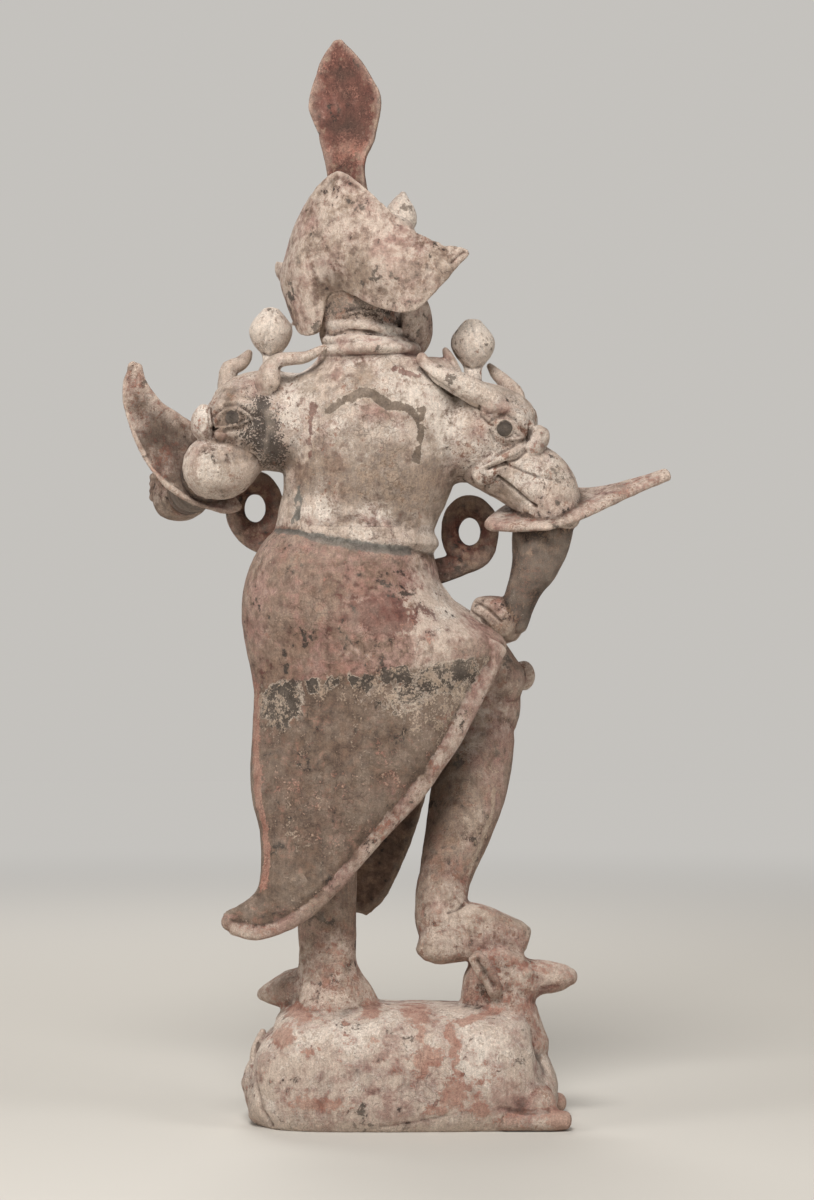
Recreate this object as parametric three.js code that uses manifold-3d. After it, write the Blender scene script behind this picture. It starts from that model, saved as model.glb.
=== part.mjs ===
// A painted terracotta guardian warrior, fired in one piece with the ox that it stands on.
// Millimetres. +Z is up, the warrior faces -Y, and +X is to its own left.
// The origin is the middle of the ox's flat underside.

import * as THREE from "three";
import { mergeVertices } from "three/addons/utils/BufferGeometryUtils.js";
import Module from "manifold-3d";

const wasm = await Module();
wasm.setup();

// Driving dimensions
const FLAME_TIP = 998; // height of the leaf that tops the helmet
const OX_BACK = 109; // height of the ox's back, on which the left foot stands
const OX_HALF_WIDTH = 80;
const WAIST = 546;
const LEFT_SHOULDER = 645; // height of the middle of a shoulder head
const RIGHT_SHOULDER = 635;
const LEFT_SHOULDER_REACH = 118; // from the warrior's midline to the middle of a shoulder head
const RIGHT_SHOULDER_REACH = 114;
const MIDLINE = 36; // the warrior's midline at the chest, to the left of the ox's middle
const WALL = 9; // thickness of the clay slabs: skirts, sleeve cuffs, neck guard
const HEAD_YAW = THREE.MathUtils.degToRad(35); // the head turns to the warrior's right
const SHOULDER_YAW = THREE.MathUtils.degToRad(25); // the shoulder heads look out and a little back
const BELOW_GROUND = 40; // depth of what is cut away below the ground
const JOIN_TOLERANCE = 4; // edges shorter than this may close up where two forms are joined

const CLAY = new THREE.MeshStandardMaterial({ color: 0xc2a694, roughness: 0.92, metalness: 0 });

// A smooth curve through rows of numbers: the row at t, from 0 to 1.
function rowAt(rows, t) {
  const spans = rows.length - 1;
  const at = Math.min(t, 1) * spans;
  const i = Math.min(Math.floor(at), spans - 1);
  const f = at - i;
  const row = (k) => rows[Math.max(0, Math.min(spans, k))];
  return rows[i].map((_, n) => {
    const [a, b, c, d] = [row(i - 1)[n], row(i)[n], row(i + 1)[n], row(i + 2)[n]];
    return b + 0.5 * f * (c - a + f * (2 * a - 5 * b + 4 * c - d + f * (3 * (b - c) + d - a)));
  });
}

const vector = (row) => new THREE.Vector3(row[0], row[1], row[2]);

// Closes rings of points into one surface, with a pole at each end.
function closeRings(rings, firstPole, lastPole) {
  const sides = rings[0].length;
  const points = [firstPole, ...rings.flat(), lastPole];
  const last = points.length - 1;
  const at = (ring, side) => 1 + ring * sides + (side % sides);
  const faces = [];
  for (let s = 0; s < sides; s++) {
    faces.push(0, at(0, s + 1), at(0, s));
    faces.push(last, at(rings.length - 1, s), at(rings.length - 1, s + 1));
    for (let r = 0; r < rings.length - 1; r++) {
      faces.push(at(r, s), at(r, s + 1), at(r + 1, s + 1));
      faces.push(at(r, s), at(r + 1, s + 1), at(r + 1, s));
    }
  }
  const geometry = new THREE.BufferGeometry().setFromPoints(points);
  geometry.setIndex(faces);
  return geometry;
}

// A rounded body swept through rows of [x, y, z, half-size across, half-size along facing].
// square 2 is an ellipse, 4 a rounded rectangle. cup bends the section's two sides towards facing,
// by that much where the section is 30 wide to each side. dome is how far the round ends stand out.
function limb(rows, { facing = [0, 1, 0], sides = 10, steps = 1, square = 2, cup = 0, dome = 0.7 } = {}) {
  const towards = vector(facing).normalize();
  const count = (rows.length - 1) * steps;
  const ring = (t, shrink, push) => {
    const row = rowAt(rows, t);
    const step = 0.5 / count;
    const tangent = vector(rowAt(rows, Math.min(1, t + step)))
      .sub(vector(rowAt(rows, Math.max(0, t - step))))
      .normalize();
    const across = new THREE.Vector3().crossVectors(towards, tangent).normalize();
    const depth = new THREE.Vector3().crossVectors(tangent, across).normalize();
    const centre = vector(row).addScaledVector(tangent, push * Math.min(row[3], row[4]) * dome);
    if (shrink === 0) return centre;
    return Array.from({ length: sides }, (_, s) => {
      const angle = (2 * Math.PI * (s + 0.5)) / sides;
      const u = Math.sign(Math.cos(angle)) * Math.abs(Math.cos(angle)) ** (2 / square);
      const v = Math.sign(Math.sin(angle)) * Math.abs(Math.sin(angle)) ** (2 / square);
      return centre
        .clone()
        .addScaledVector(across, row[3] * shrink * u)
        .addScaledVector(depth, row[4] * shrink * v + cup * (row[3] / 30) * u * u);
    });
  };
  const halfway = Math.SQRT1_2;
  const rings = [ring(0, halfway, -halfway)];
  for (let i = 0; i <= count; i++) rings.push(ring(i / count, 1, 0));
  rings.push(ring(1, halfway, halfway));
  return closeRings(rings, ring(0, 0, -1), ring(1, 0, 1));
}

// A slab of clay: the surface point(u, v), for u and v from 0 to 1, made thick to both sides.
function slab(point, { thick = WALL, across, down }) {
  const face = (u, v, side) => {
    const e = 0.01;
    const alongU = point(Math.min(1, u + e), v).sub(point(Math.max(0, u - e), v));
    const alongV = point(u, Math.min(1, v + e)).sub(point(u, Math.max(0, v - e)));
    const normal = alongU.cross(alongV).normalize();
    return point(u, v).addScaledVector(normal, (side * thick) / 2);
  };
  const rings = [];
  for (let j = 0; j <= down; j++) {
    const ring = [];
    for (let i = 0; i <= across; i++) ring.push(face(i / across, j / down, 1));
    for (let i = across; i >= 0; i--) ring.push(face(i / across, j / down, -1));
    rings.push(ring);
  }
  return closeRings(rings, point(0.5, 0), point(0.5, 1));
}

// A skirt panel hung between two edges. Each row is [x, y, z of the left edge, x, y, z of the
// right edge, how far the cloth bows out between them, to +Y].
function panel(rows, across) {
  const point = (u, v) => {
    const row = rowAt(rows, v);
    const angle = Math.PI * u;
    const edge = vector(row).lerp(vector(row.slice(3)), (1 - Math.cos(angle)) / 2);
    edge.y += row[6] * Math.sin(angle);
    return edge;
  };
  return slab(point, { across, down: rows.length - 1 });
}

function blob(at, size, { turn = 0, detail = 8 } = {}) {
  return new THREE.SphereGeometry(1, detail, Math.round(detail * 0.65))
    .scale(...size)
    .rotateZ(turn)
    .translate(...at);
}

// A geometry as a solid that can be joined and cut.
function solid(geometry) {
  const bare = new THREE.BufferGeometry().setAttribute("position", geometry.getAttribute("position"));
  bare.setIndex(geometry.getIndex());
  const merged = mergeVertices(bare, 1e-3);
  const triVerts = new Uint32Array(merged.getIndex().array);
  const vertProperties = new Float32Array(merged.getAttribute("position").array);
  const mesh = { numProp: 3, vertProperties, triVerts, tolerance: JOIN_TOLERANCE };
  const made = new wasm.Manifold(new wasm.Mesh(mesh));
  if (made.volume() > 0) return made;
  for (let i = 0; i < triVerts.length; i += 3) {
    [triVerts[i + 1], triVerts[i + 2]] = [triVerts[i + 2], triVerts[i + 1]];
  }
  return new wasm.Manifold(new wasm.Mesh(mesh));
}

const join = (geometries) => geometries.map(solid).reduce((whole, piece) => whole.add(piece));

// The ox lies with its head to the warrior's right. Its flanks run down to a flat underside.
function ox() {
  const body = limb(
    [
      [147, 0, 49, 20, 26],
      [139, 0, 47, 38, 46],
      [130, 0, 45, 51, 58],
      [110, 0, 44, 61, 72],
      [78, 0, OX_BACK - 64, 64, OX_HALF_WIDTH - 1],
      [0, 0, OX_BACK - 64, 64, OX_HALF_WIDTH],
      [-74, 0, OX_BACK - 64, 62, OX_HALF_WIDTH - 4],
      [-104, 0, 44, 55, 64],
      [-117, 0, 45, 40, 48],
      [-124, 0, 48, 24, 32],
    ],
    { sides: 16, square: 3, dome: 0.3 },
  );
  const neck = limb(
    [
      [-86, 0, 66, 34, 48],
      [-80, 0, 106, 32, 34],
      [-78, 0, 132, 26, 28],
    ],
    { sides: 8 },
  );
  const head = limb(
    [
      [-58, 0, 130, 17, 24],
      [-80, 0, 131, 26, 31],
      [-110, 0, 127, 22, 25],
      [-134, 0, 127, 14, 18],
      [-149, 0, 128, 10, 14],
    ],
    { dome: 0.5 },
  );
  const parts = [body, neck, head];
  for (const side of [1, -1]) {
    const ear = limb(
      [
        [-78, side * 24, 118, 9, 9],
        [-69, side * 36, 134, 9, 8],
        [-60, side * 43, 148, 8, 7],
      ],
      { sides: 6, dome: 0.3 },
    );
    const eye = blob([-106, side * 22, 139], [8, 6, 6], { detail: 6 });
    const foreleg = limb(
      [
        [-62, side * 58, 16, 15, 17],
        [-112, side * 62, 15, 13, 14],
        [-138, side * 63, 10, 11, 11],
      ],
      { sides: 8, square: 2.4 },
    );
    const knee = blob([-110, side * 42, 24], [20, 22, 17]);
    const haunch = blob([112, side * 31, 44], [34, 38, 45], { detail: 10 });
    parts.push(ear, eye, foreleg, knee, haunch);
  }
  const tail = limb(
    [
      [137, 10, 88, 5, 6],
      [144, 22, 62, 5, 6],
      [134, 36, 32, 6, 7],
    ],
    { sides: 6 },
  );
  return [...parts, tail];
}

function standingLeg() {
  const leg = limb(
    [
      [80, -2, 440, 40, 42],
      [82, -2, 360, 36, 38],
      [80, 0, 270, 30, 32],
      [78, 3, 205, 28, 28],
      [77, 4, 160, 26, 27],
      [76, 4, OX_BACK + 8, 28, 32],
    ],
    { dome: 0.4 },
  );
  const boot = limb(
    [
      [50, 10, OX_BACK + 9, 14, 22],
      [80, 0, OX_BACK + 13, 20, 28],
      [108, -17, OX_BACK + 10, 19, 26],
      [126, -29, OX_BACK + 6, 12, 20],
      [135, -35, OX_BACK + 4, 7, 13],
    ],
    { facing: [0.5, 0.86, 0], sides: 8 },
  );
  return [leg, boot];
}

// The right leg is bent, its boot on the ox's head.
function raisedLeg() {
  const thigh = limb(
    [
      [20, -10, 455, 48, 50],
      [-24, -34, 438, 45, 46],
      [-56, -52, 418, 40, 42],
      [-80, -62, 399, 32, 36],
    ],
  );
  const breeches = limb(
    [
      [-72, -62, 420, 27, 28],
      [-71, -60, 397, 32, 34],
      [-69, -57, 374, 33, 35],
      [-66, -52, 358, 28, 30],
    ],
    { dome: 0.5 },
  );
  const calf = limb(
    [
      [-66, -54, 372, 29, 31],
      [-64, -46, 345, 33, 34],
      [-57, -37, 315, 35, 35],
      [-50, -29, 288, 34, 34],
      [-41, -20, 256, 29, 30],
      [-31, -9, 222, 24, 25],
      [-28, -3, 190, 24, 26],
    ],
    { sides: 12, dome: 0.2 },
  );
  const boot = limb(
    [
      [-14, 3, 168, 23, 22],
      [-34, 0, 172, 27, 26],
      [-60, -4, 174, 25, 28],
      [-84, -8, 168, 19, 27],
      [-102, -12, 164, 12, 23],
    ],
    { square: 4, dome: 0.3 },
  );
  const kneeKnob = blob([-104, -70, 407], [13, 12, 13]);
  return [thigh, breeches, calf, boot, kneeKnob];
}

// The skirt's back panel hangs from the waist to a tail behind the left leg. Its right edge falls
// to a corner at the knee, and from there the hem sweeps down to the tail.
function skirt() {
  const hips = limb(
    [
      [50, -6, WAIST, 68, 46],
      [55, -12, 516, 82, 50],
      [60, -14, 486, 90, 52],
      [60, -14, 454, 88, 54],
      [58, -12, 420, 82, 52],
      [62, -8, 394, 66, 44],
    ],
    { sides: 14, dome: 0.3 },
  );
  const backRows = [
    [119, 0, WAIST, -16, 0, WAIST, 53],
    [142, -2, 517, -21, 0, 502, 65],
    [152, -4, 478, -48, 4, 466, 72],
    [148, 0, 437, -84, 16, 439, 66],
    [140, 6, 398, -67, 28, 405, 54],
    [142, 16, 352, -40, 38, 354, 44],
    [142, 28, 308, -6, 46, 306, 33],
    [134, 41, 271, 34, 52, 263, 23],
    [132, 52, 242, 67, 59, 225, 15],
    [135, 61, 218, 100, 65, 195, 8],
    [149, 66, 204, 136, 68, 180, 3],
    [170, 68, 195, 162, 68, 184, 0],
  ];
  const cornerRow = 3;
  const hemHalfWidth = 8;
  const hem = backRows
    .slice(cornerRow)
    .map(([, , , x, y, z]) => [x + hemHalfWidth / 2, y, z + hemHalfWidth / 2, hemHalfWidth, 6.5]);
  const apronRows = [
    [104, -44, 520, 0, -44, 520, -22],
    [120, -54, 468, -22, -60, 468, -26],
    [124, -58, 420, -30, -74, 420, -24],
    [120, -62, 370, -28, -84, 370, -16],
    [112, -64, 320, -18, -85, 318, -12],
    [100, -66, 275, -6, -82, 270, -8],
    [84, -68, 235, 8, -78, 235, -6],
    [66, -70, 203, 24, -76, 202, -4],
    [54, -72, 186, 44, -74, 184, -2],
  ];
  return [hips, panel(backRows, 8), limb(hem, { sides: 6 }), panel(apronRows, 5)];
}

// The armoured body, with two round plates on the chest, and the cloth wound round the neck.
function torso() {
  const trunk = limb(
    [
      [36, 0, 716, 36, 34],
      [37, 0, 703, 62, 42],
      [36, 0, 688, 84, 48],
      [35, 0, 670, 88, 54],
      [36, 0, 640, 87, 58],
      [39, 0, 604, 81, 58],
      [46, 0, 573, 74, 54],
      [51, 0, WAIST + 6, 72, 53],
      [52, 0, WAIST - 12, 78, 57],
    ],
    { sides: 14, dome: 0.3 },
  );
  const neck = limb([
    [40, 2, 700, 46, 42],
    [44, 2, 728, 40, 38],
    [43, 0, 752, 38, 38],
    [40, -2, 782, 38, 39],
  ]);
  const scarf = [738, 716].map((z, i) =>
    new THREE.TorusGeometry(33 + i * 10, 9, 4, 12).rotateY(-0.1).translate(43 - i * 3, 0, z),
  );
  const plates = [1, -1].map((side) =>
    blob([MIDLINE + side * 38, -49, 634], [32, 15, 32], { turn: side * 0.35, detail: 10 }),
  );
  const strip = limb(
    [
      [MIDLINE, -50, 676, 7, 8],
      [MIDLINE + 2, -57, 634, 7, 8],
      [MIDLINE + 8, -54, 586, 9, 8],
    ],
    { sides: 6 },
  );
  const belly = blob([46, -36, 574], [46, 26, 27], { detail: 10 });
  return [trunk, neck, ...scarf, ...plates, strip, belly];
}

// The sash is knotted in front, and stands out from the waist in a scroll on each side, which turns
// by so many degrees.
function sash(side, { reach, height, turn }) {
  const centre = new THREE.Vector3(MIDLINE + side * reach, -44, height);
  const half = { across: 21, up: 30 };
  const ribbon = { half: 10, thick: 6 };
  const steps = 9;
  const rows = Array.from({ length: steps + 1 }, (_, i) => {
    const angle = THREE.MathUtils.degToRad(-140 + (i * turn) / steps);
    return [
      centre.x + side * half.across * Math.cos(angle),
      centre.y,
      centre.z + half.up * Math.sin(angle),
      ribbon.half,
      ribbon.thick,
    ];
  });
  const root = limb(
    [
      [MIDLINE + side * 20 + 12, -44, WAIST - 22, 11, 10],
      [centre.x - side * 40, -46, height - 26, 12, 9],
      [centre.x - side * 12, -44, height - half.up + 1, 11, 7],
    ],
    { sides: 6 },
  );
  return [limb(rows, { sides: 6 }), root];
}

const leftSash = { reach: 106, height: WAIST + 19, turn: 190 };
const rightSash = { reach: 88, height: WAIST - 7, turn: 330 };

// A point of the helmet, by its angle from the back of the head to the left, its radius and height.
const HELMET_AXIS = new THREE.Vector2(MIDLINE, -5);
const FACE = [-Math.sin(HEAD_YAW), -Math.cos(HEAD_YAW), 0];
function onHelmet(degrees, radius, z) {
  const angle = THREE.MathUtils.degToRad(degrees) + HEAD_YAW;
  return [HELMET_AXIS.x + radius * Math.sin(angle), HELMET_AXIS.y + radius * Math.cos(angle), z];
}

function head() {
  const turn = -HEAD_YAW;
  const skull = limb(
    [
      [20, -32, 720, 19, 18],
      [24, -22, 738, 32, 36],
      [29, -14, 768, 39, 46],
      [33, -9, 798, 44, 51],
      [35, -7, 820, 37, 43],
    ],
    { facing: FACE, sides: 12, dome: 0.5 },
  );
  const nose = blob([2, -54, 770], [7, 9, 14], { turn, detail: 6 });
  const browBand = new THREE.TorusGeometry(45, 7, 4, 14)
    .scale(1, 1.12, 1)
    .rotateZ(turn)
    .translate(34, -8, 800);
  const cheekGuards = [100, -100].map((degrees) =>
    blob(onHelmet(degrees, 46, 735), [12, 25, 29], { turn }),
  );
  // Angle from the back, then radius and height of the guard's lower edge, middle and upper edge.
  const guardRows = [
    [-90, 106, 794, 106, 795, 105, 797],
    [-84, 100, 781, 102, 791, 96, 799],
    [-79, 93, 768, 97, 784, 86, 802],
    [-65, 78, 743, 85, 779, 73, 815],
    [-45, 62, 745, 74, 790, 60, 838],
    [-20, 50, 758, 64, 802, 55, 861],
    [0, 46, 764, 62, 808, 51, 871],
    [20, 49, 758, 65, 800, 54, 862],
    [30, 53, 729, 70, 790, 57, 853],
    [45, 62, 725, 74, 782, 63, 839],
    [60, 69, 736, 80, 776, 71, 819],
    [80, 84, 764, 91, 783, 87, 798],
    [90, 106, 787, 108, 793, 106, 798],
  ];
  const guardPoint = (u, v) => {
    const row = rowAt(guardRows, v);
    const edges = [1, 3, 5].map((k) => onHelmet(row[0], row[k], row[k + 1]));
    return vector(rowAt(edges, u));
  };
  const guard = slab(guardPoint, { thick: WALL - 1, across: 5, down: 12 });
  const nape = blob([36, -5, 780], [56, 52, 22], { turn });
  const bud = limb(
    [
      [13, -40, 818, 7, 7],
      [10, -46, 834, 15, 14],
      [9, -47, 846, 14, 13],
      [8, -48, 856, 7, 7],
    ],
    { sides: 6 },
  );
  const flame = limb(
    [
      [46, 4, 824, 15, 12],
      [57, 10, 862, 17, 7],
      [59, 10, 884, 19, 7],
      [57, 10, 908, 27, 6],
      [58, 10, 933, 34, 6],
      [62, 8, 960, 26, 6],
      [65, 6, 978, 17, 5],
      [67, 4, FLAME_TIP - 4, 5, 4],
    ],
    { facing: [0.2, 0.98, 0], sides: 8, square: 3, cup: 11 },
  );
  return [skull, nose, browBand, ...cheekGuards, guard, nape, bud, flame];
}

// A monster's head caps each shoulder, with the sleeve coming out of its mouth.
// Places on it are [outwards, towards the back, up] from its middle, but the horn that shows from
// behind has its own places. The features of the far side are set in by farInset.
function shoulderHead(side, { reach, height, budInset, nearHorn, farInset }) {
  const place = (out, back, up) => [
    MIDLINE + side * (reach + out * Math.cos(SHOULDER_YAW) - back * Math.sin(SHOULDER_YAW)),
    out * Math.sin(SHOULDER_YAW) + back * Math.cos(SHOULDER_YAW),
    height + up,
  ];
  const rows = (list) => list.map(([out, back, up, a, b]) => [...place(out, back, up), a, b]);
  const facing = [-side * Math.sin(SHOULDER_YAW), Math.cos(SHOULDER_YAW), 0];
  const turn = side * SHOULDER_YAW;
  const mask = limb(
    rows([
      [-60, 16, -3, 47, 48],
      [-32, 8, 0, 46, 46],
      [-8, 3, 2, 45, 44],
      [12, 3, 1, 37, 39],
      [23, 3, 0, 31, 33],
      [29, 3, 0, 25, 27],
    ]),
    { facing, sides: 12, dome: 0.35 },
  );
  const snout = blob(place(43, 4, -8), [10, 18, 15], { turn });
  const bud = limb(
    rows([
      [-budInset, 0, 36, 9, 9],
      [-budInset, 0, 56, 9, 9],
      [-budInset, 0, 69, 18, 18],
      [-budInset, 0, 84, 21, 21],
      [-budInset, 0, 97, 14, 14],
      [-budInset, 0, 104, 7, 7],
    ]),
    { sides: 8, dome: 0.5 },
  );
  const parts = [mask, snout, bud];
  if (side < 0) {
    const leaf = rows([
      [-37, 28, 52, 9, 7],
      [-38, 25, 72, 8, 6],
      [-36, 22, 84, 4, 4],
    ]);
    parts.push(limb(leaf, { facing, sides: 6 }));
  }
  for (const near of [1, -1]) {
    const inset = near > 0 ? 0 : farInset;
    const eye = blob(place(24 - inset, near * 28, 4), [10, 8, 9], { turn, detail: 6 });
    const brow = limb(
      rows([
        [33 - inset, near * 16, 12, 5, 5],
        [26 - inset, near * 29, 18, 6, 6],
        [10 - inset, near * 38, 16, 6, 6],
      ]),
      { facing, sides: 6 },
    );
    const lip = limb(
      rows([
        [34 - inset, near * 17, -18, 7, 6],
        [24 - inset, near * 29, -25, 7, 7],
        [6, near * 37, -34, 7, 7],
        [-6, near * 28, -48, 8, 8],
      ]),
      { facing, sides: 6 },
    );
    const farHorn = [
      [22 - inset, -27, 20, 9, 9],
      [23 - inset, -27, 40, 8, 8],
      [14 - inset, -27, 52, 7, 7],
      [-6 - inset, -25, 66, 4, 4],
    ];
    const horn = limb(near > 0 ? nearHorn : rows(farHorn), { facing, sides: 6 });
    parts.push(eye, brow, lip, horn);
  }
  return parts;
}

const leftShoulder = {
  reach: LEFT_SHOULDER_REACH,
  height: LEFT_SHOULDER,
  budInset: 27,
  nearHorn: [
    [131, 34, 664, 13, 13],
    [129, 38, 679, 14, 14],
    [121, 40, 694, 11, 11],
    [107, 38, 702, 8, 8],
    [91, 35, 705, 7, 7],
    [76, 31, 712, 4, 4],
  ],
  farInset: 13,
};
const rightShoulder = {
  reach: RIGHT_SHOULDER_REACH,
  height: RIGHT_SHOULDER,
  budInset: 23,
  nearHorn: [
    [-76, 32, 662, 10, 12],
    [-64, 39, 677, 10, 11],
    [-43, 44, 690, 9, 9],
    [-23, 44, 697, 7, 7],
    [-5, 39, 710, 3, 3],
  ],
  farInset: 21,
};

// The left arm reaches forward in a fist. The sleeve ends in a ball with a leaf-shaped cuff round it.
function leftArm() {
  const sleeve = limb(
    [
      [120, 0, 634, 30, 30],
      [154, 6, 614, 31, 31],
      [187, 14, 596, 31, 31],
    ],
    { dome: 0.9 },
  );
  const forearm = limb(
    [
      [184, 6, 598, 26, 26],
      [198, -36, 588, 23, 23],
      [212, -84, 580, 19, 19],
    ],
    { facing: [0, 0, 1], sides: 8 },
  );
  const fist = limb(
    [
      [210, -90, 580, 20, 20],
      [221, -106, 579, 25, 24],
      [227, -122, 578, 21, 23],
    ],
    { facing: [0, 0, 1], sides: 8, square: 2.5, dome: 0.5 },
  );
  const cuff = limb(
    [
      [156, -8, 570, 6, 5],
      [170, -10, 574, 17, 5],
      [192, -12, 590, 30, 5],
      [212, -12, 610, 33, 5],
      [233, -10, 633, 27, 5],
      [247, -4, 654, 19, 5],
      [255, 2, 677, 13, 5],
      [253, 6, 698, 7, 5],
    ],
    { facing: [-0.3, 0.93, 0.15], sides: 8, square: 3, cup: 10 },
  );
  return [sleeve, forearm, fist, cuff];
}

// The right fist rests on the hip.
function rightArm() {
  const sleeve = limb(
    [
      [-58, 0, 622, 33, 32],
      [-92, 5, 603, 32, 33],
      [-118, 8, 586, 33, 33],
      [-127, 9, 566, 30, 31],
      [-128, 9, 550, 26, 27],
    ],
    { dome: 0.3 },
  );
  const forearm = limb(
    [
      [-124, 8, 566, 28, 28],
      [-120, 7, 536, 27, 26],
      [-114, 5, 512, 22, 23],
      [-106, 2, 494, 17, 20],
      [-99, -2, 476, 15, 18],
      [-94, -5, 460, 15, 16],
    ],
    { sides: 8 },
  );
  const fist = limb(
    [
      [-97, -6, 456, 15, 20],
      [-91, -8, 459, 21, 21],
      [-76, -12, 466, 19, 22],
      [-62, -16, 470, 14, 19],
    ],
    { sides: 8, square: 3, dome: 0.4 },
  );
  const cuff = limb(
    [
      [-72, 24, 549, 8, 5],
      [-84, 18, 551, 24, 5],
      [-108, 10, 558, 42, 5],
      [-132, 8, 564, 43, 5],
      [-151, 8, 569, 38, 5],
      [-173, 7, 574, 25, 5],
      [-205, 3, 585, 14, 5],
      [-236, 0, 596, 8, 5],
    ],
    { facing: [0.22, 0.38, 0.9], sides: 8, square: 3 },
  );
  return [sleeve, forearm, fist, cuff];
}

const clay = join([
  ...ox(),
  ...standingLeg(),
  ...raisedLeg(),
  ...skirt(),
  ...torso(),
  ...sash(1, leftSash),
  ...sash(-1, rightSash),
  ...head(),
  ...shoulderHead(1, leftShoulder),
  ...shoulderHead(-1, rightShoulder),
  ...leftArm(),
  ...rightArm(),
]);

// The underside is cut flat on the ground.
const below = solid(new THREE.BoxGeometry(400, 400, BELOW_GROUND).translate(0, 0, -BELOW_GROUND / 2));
const cut = clay.subtract(below).getMesh();
const geometry = new THREE.BufferGeometry();
geometry.setAttribute("position", new THREE.BufferAttribute(new Float32Array(cut.vertProperties), 3));
geometry.setIndex(new THREE.BufferAttribute(new Uint32Array(cut.triVerts), 1));

const warrior = new THREE.Mesh(geometry, CLAY);
warrior.name = "warrior_on_ox";

const model = new THREE.Group();
model.add(warrior);

export default model;
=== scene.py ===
import math

import bmesh
import bpy
import numpy as np
from mathutils import Euler, Matrix, Vector, noise
from mathutils.bvhtree import BVHTree


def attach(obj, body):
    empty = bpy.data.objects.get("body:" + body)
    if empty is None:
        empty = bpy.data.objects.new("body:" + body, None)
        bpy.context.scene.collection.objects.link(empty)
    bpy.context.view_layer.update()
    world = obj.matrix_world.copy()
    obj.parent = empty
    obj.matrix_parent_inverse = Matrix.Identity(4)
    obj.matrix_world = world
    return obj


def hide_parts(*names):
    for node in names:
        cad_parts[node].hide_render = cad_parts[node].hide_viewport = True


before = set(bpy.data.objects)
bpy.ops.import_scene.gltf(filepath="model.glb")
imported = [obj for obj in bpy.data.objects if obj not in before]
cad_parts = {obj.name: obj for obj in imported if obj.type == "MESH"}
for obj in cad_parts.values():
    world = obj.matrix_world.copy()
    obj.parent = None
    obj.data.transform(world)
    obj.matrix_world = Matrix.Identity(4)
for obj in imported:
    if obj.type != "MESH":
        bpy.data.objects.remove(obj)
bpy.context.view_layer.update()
print("frame loaded:", *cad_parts)

# camera, behind the figure and level with the middle of its skirt
view = {
    "focal": 104.0,  # mm, on a sensor 36 mm long
    "sensor": 36.0,
    "place": (0.0037, 3.2, 0.4804),
}
cameraData = bpy.data.cameras.new("camera")
cameraData.lens = view["focal"]
cameraData.sensor_width = view["sensor"]
cameraData.clip_start = 0.1
cameraData.clip_end = 30
camera = bpy.data.objects.new("camera", cameraData)
camera.location = view["place"]
camera.rotation_euler = (math.radians(90), 0, math.radians(180))
bpy.context.scene.collection.objects.link(camera)
bpy.context.scene.camera = camera
bpy.context.scene.view_settings.view_transform = "Standard"  # colours as they are, uncompressed

# soft studio light
studio = {
    "lamps": {
        "top": {"place": (0.3, 1.9, 2.3), "size": 1.0, "power": 66},
        "left": {"place": (2.3, 1.0, 1.4), "size": 1.2, "power": 20},
        "right": {"place": (-2.2, 1.3, 1.5), "size": 1.2, "power": 21},
        "low": {"place": (0.9, 2.8, 0.7), "size": 1.4, "power": 5},
        "front": {"place": (0.5, -2.4, 2.0), "size": 1.8, "power": 50},
    },
    "aim": (0, 0, 0.45),
    "lampColour": (1.0, 0.98, 0.955),
    "sky": 0.08,
    "backdrop": "E6E3DE",
    "backdropGlow": 0.7,  # the far floor and what lies behind it look alike
    "floorColour": "C9C5BE",
    "floorFades": (0.9, 3.6),  # m from the figure
}


def linear(hexColour):  # sRGB hex to linear RGBA
    parts = [int(hexColour[i:i + 2], 16) / 255 for i in (0, 2, 4)]
    return [c / 12.92 if c <= 0.04045 else ((c + 0.055) / 1.055) ** 2.4 for c in parts] + [1.0]


def addNode(tree, kind, settings=None, links=None):  # one node, its settings, and what feeds its sockets
    node = tree.nodes.new(kind)
    for name, value in (settings or {}).items():
        if isinstance(name, str) and hasattr(node, name):
            setattr(node, name, value)
        else:
            node.inputs[name].default_value = value
    for name, source in (links or {}).items():
        tree.links.new(source, node.inputs[name])
    return node


for name, lamp in studio["lamps"].items():
    light = bpy.data.lights.new(name, "AREA")
    light.shape = "DISK"
    light.size = lamp["size"]
    light.energy = lamp["power"]
    light.color = studio["lampColour"]
    lightObject = bpy.data.objects.new(name, light)
    lightObject.location = lamp["place"]
    aim = Vector(studio["aim"]) - lightObject.location
    lightObject.rotation_euler = aim.to_track_quat("-Z", "Y").to_euler()
    bpy.context.scene.collection.objects.link(lightObject)

world = bpy.data.worlds.new("studio")
world.use_nodes = True
backdrop = world.node_tree.nodes["Background"]
backdrop.inputs["Color"].default_value = linear(studio["backdrop"])
seen = addNode(world.node_tree, "ShaderNodeLightPath").outputs["Is Camera Ray"]
strengths = {3: studio["sky"], 4: studio["backdropGlow"]}
glow = addNode(world.node_tree, "ShaderNodeMapRange", strengths, {0: seen}).outputs[0]
world.node_tree.links.new(glow, backdrop.inputs["Strength"])
bpy.context.scene.world = world

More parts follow.
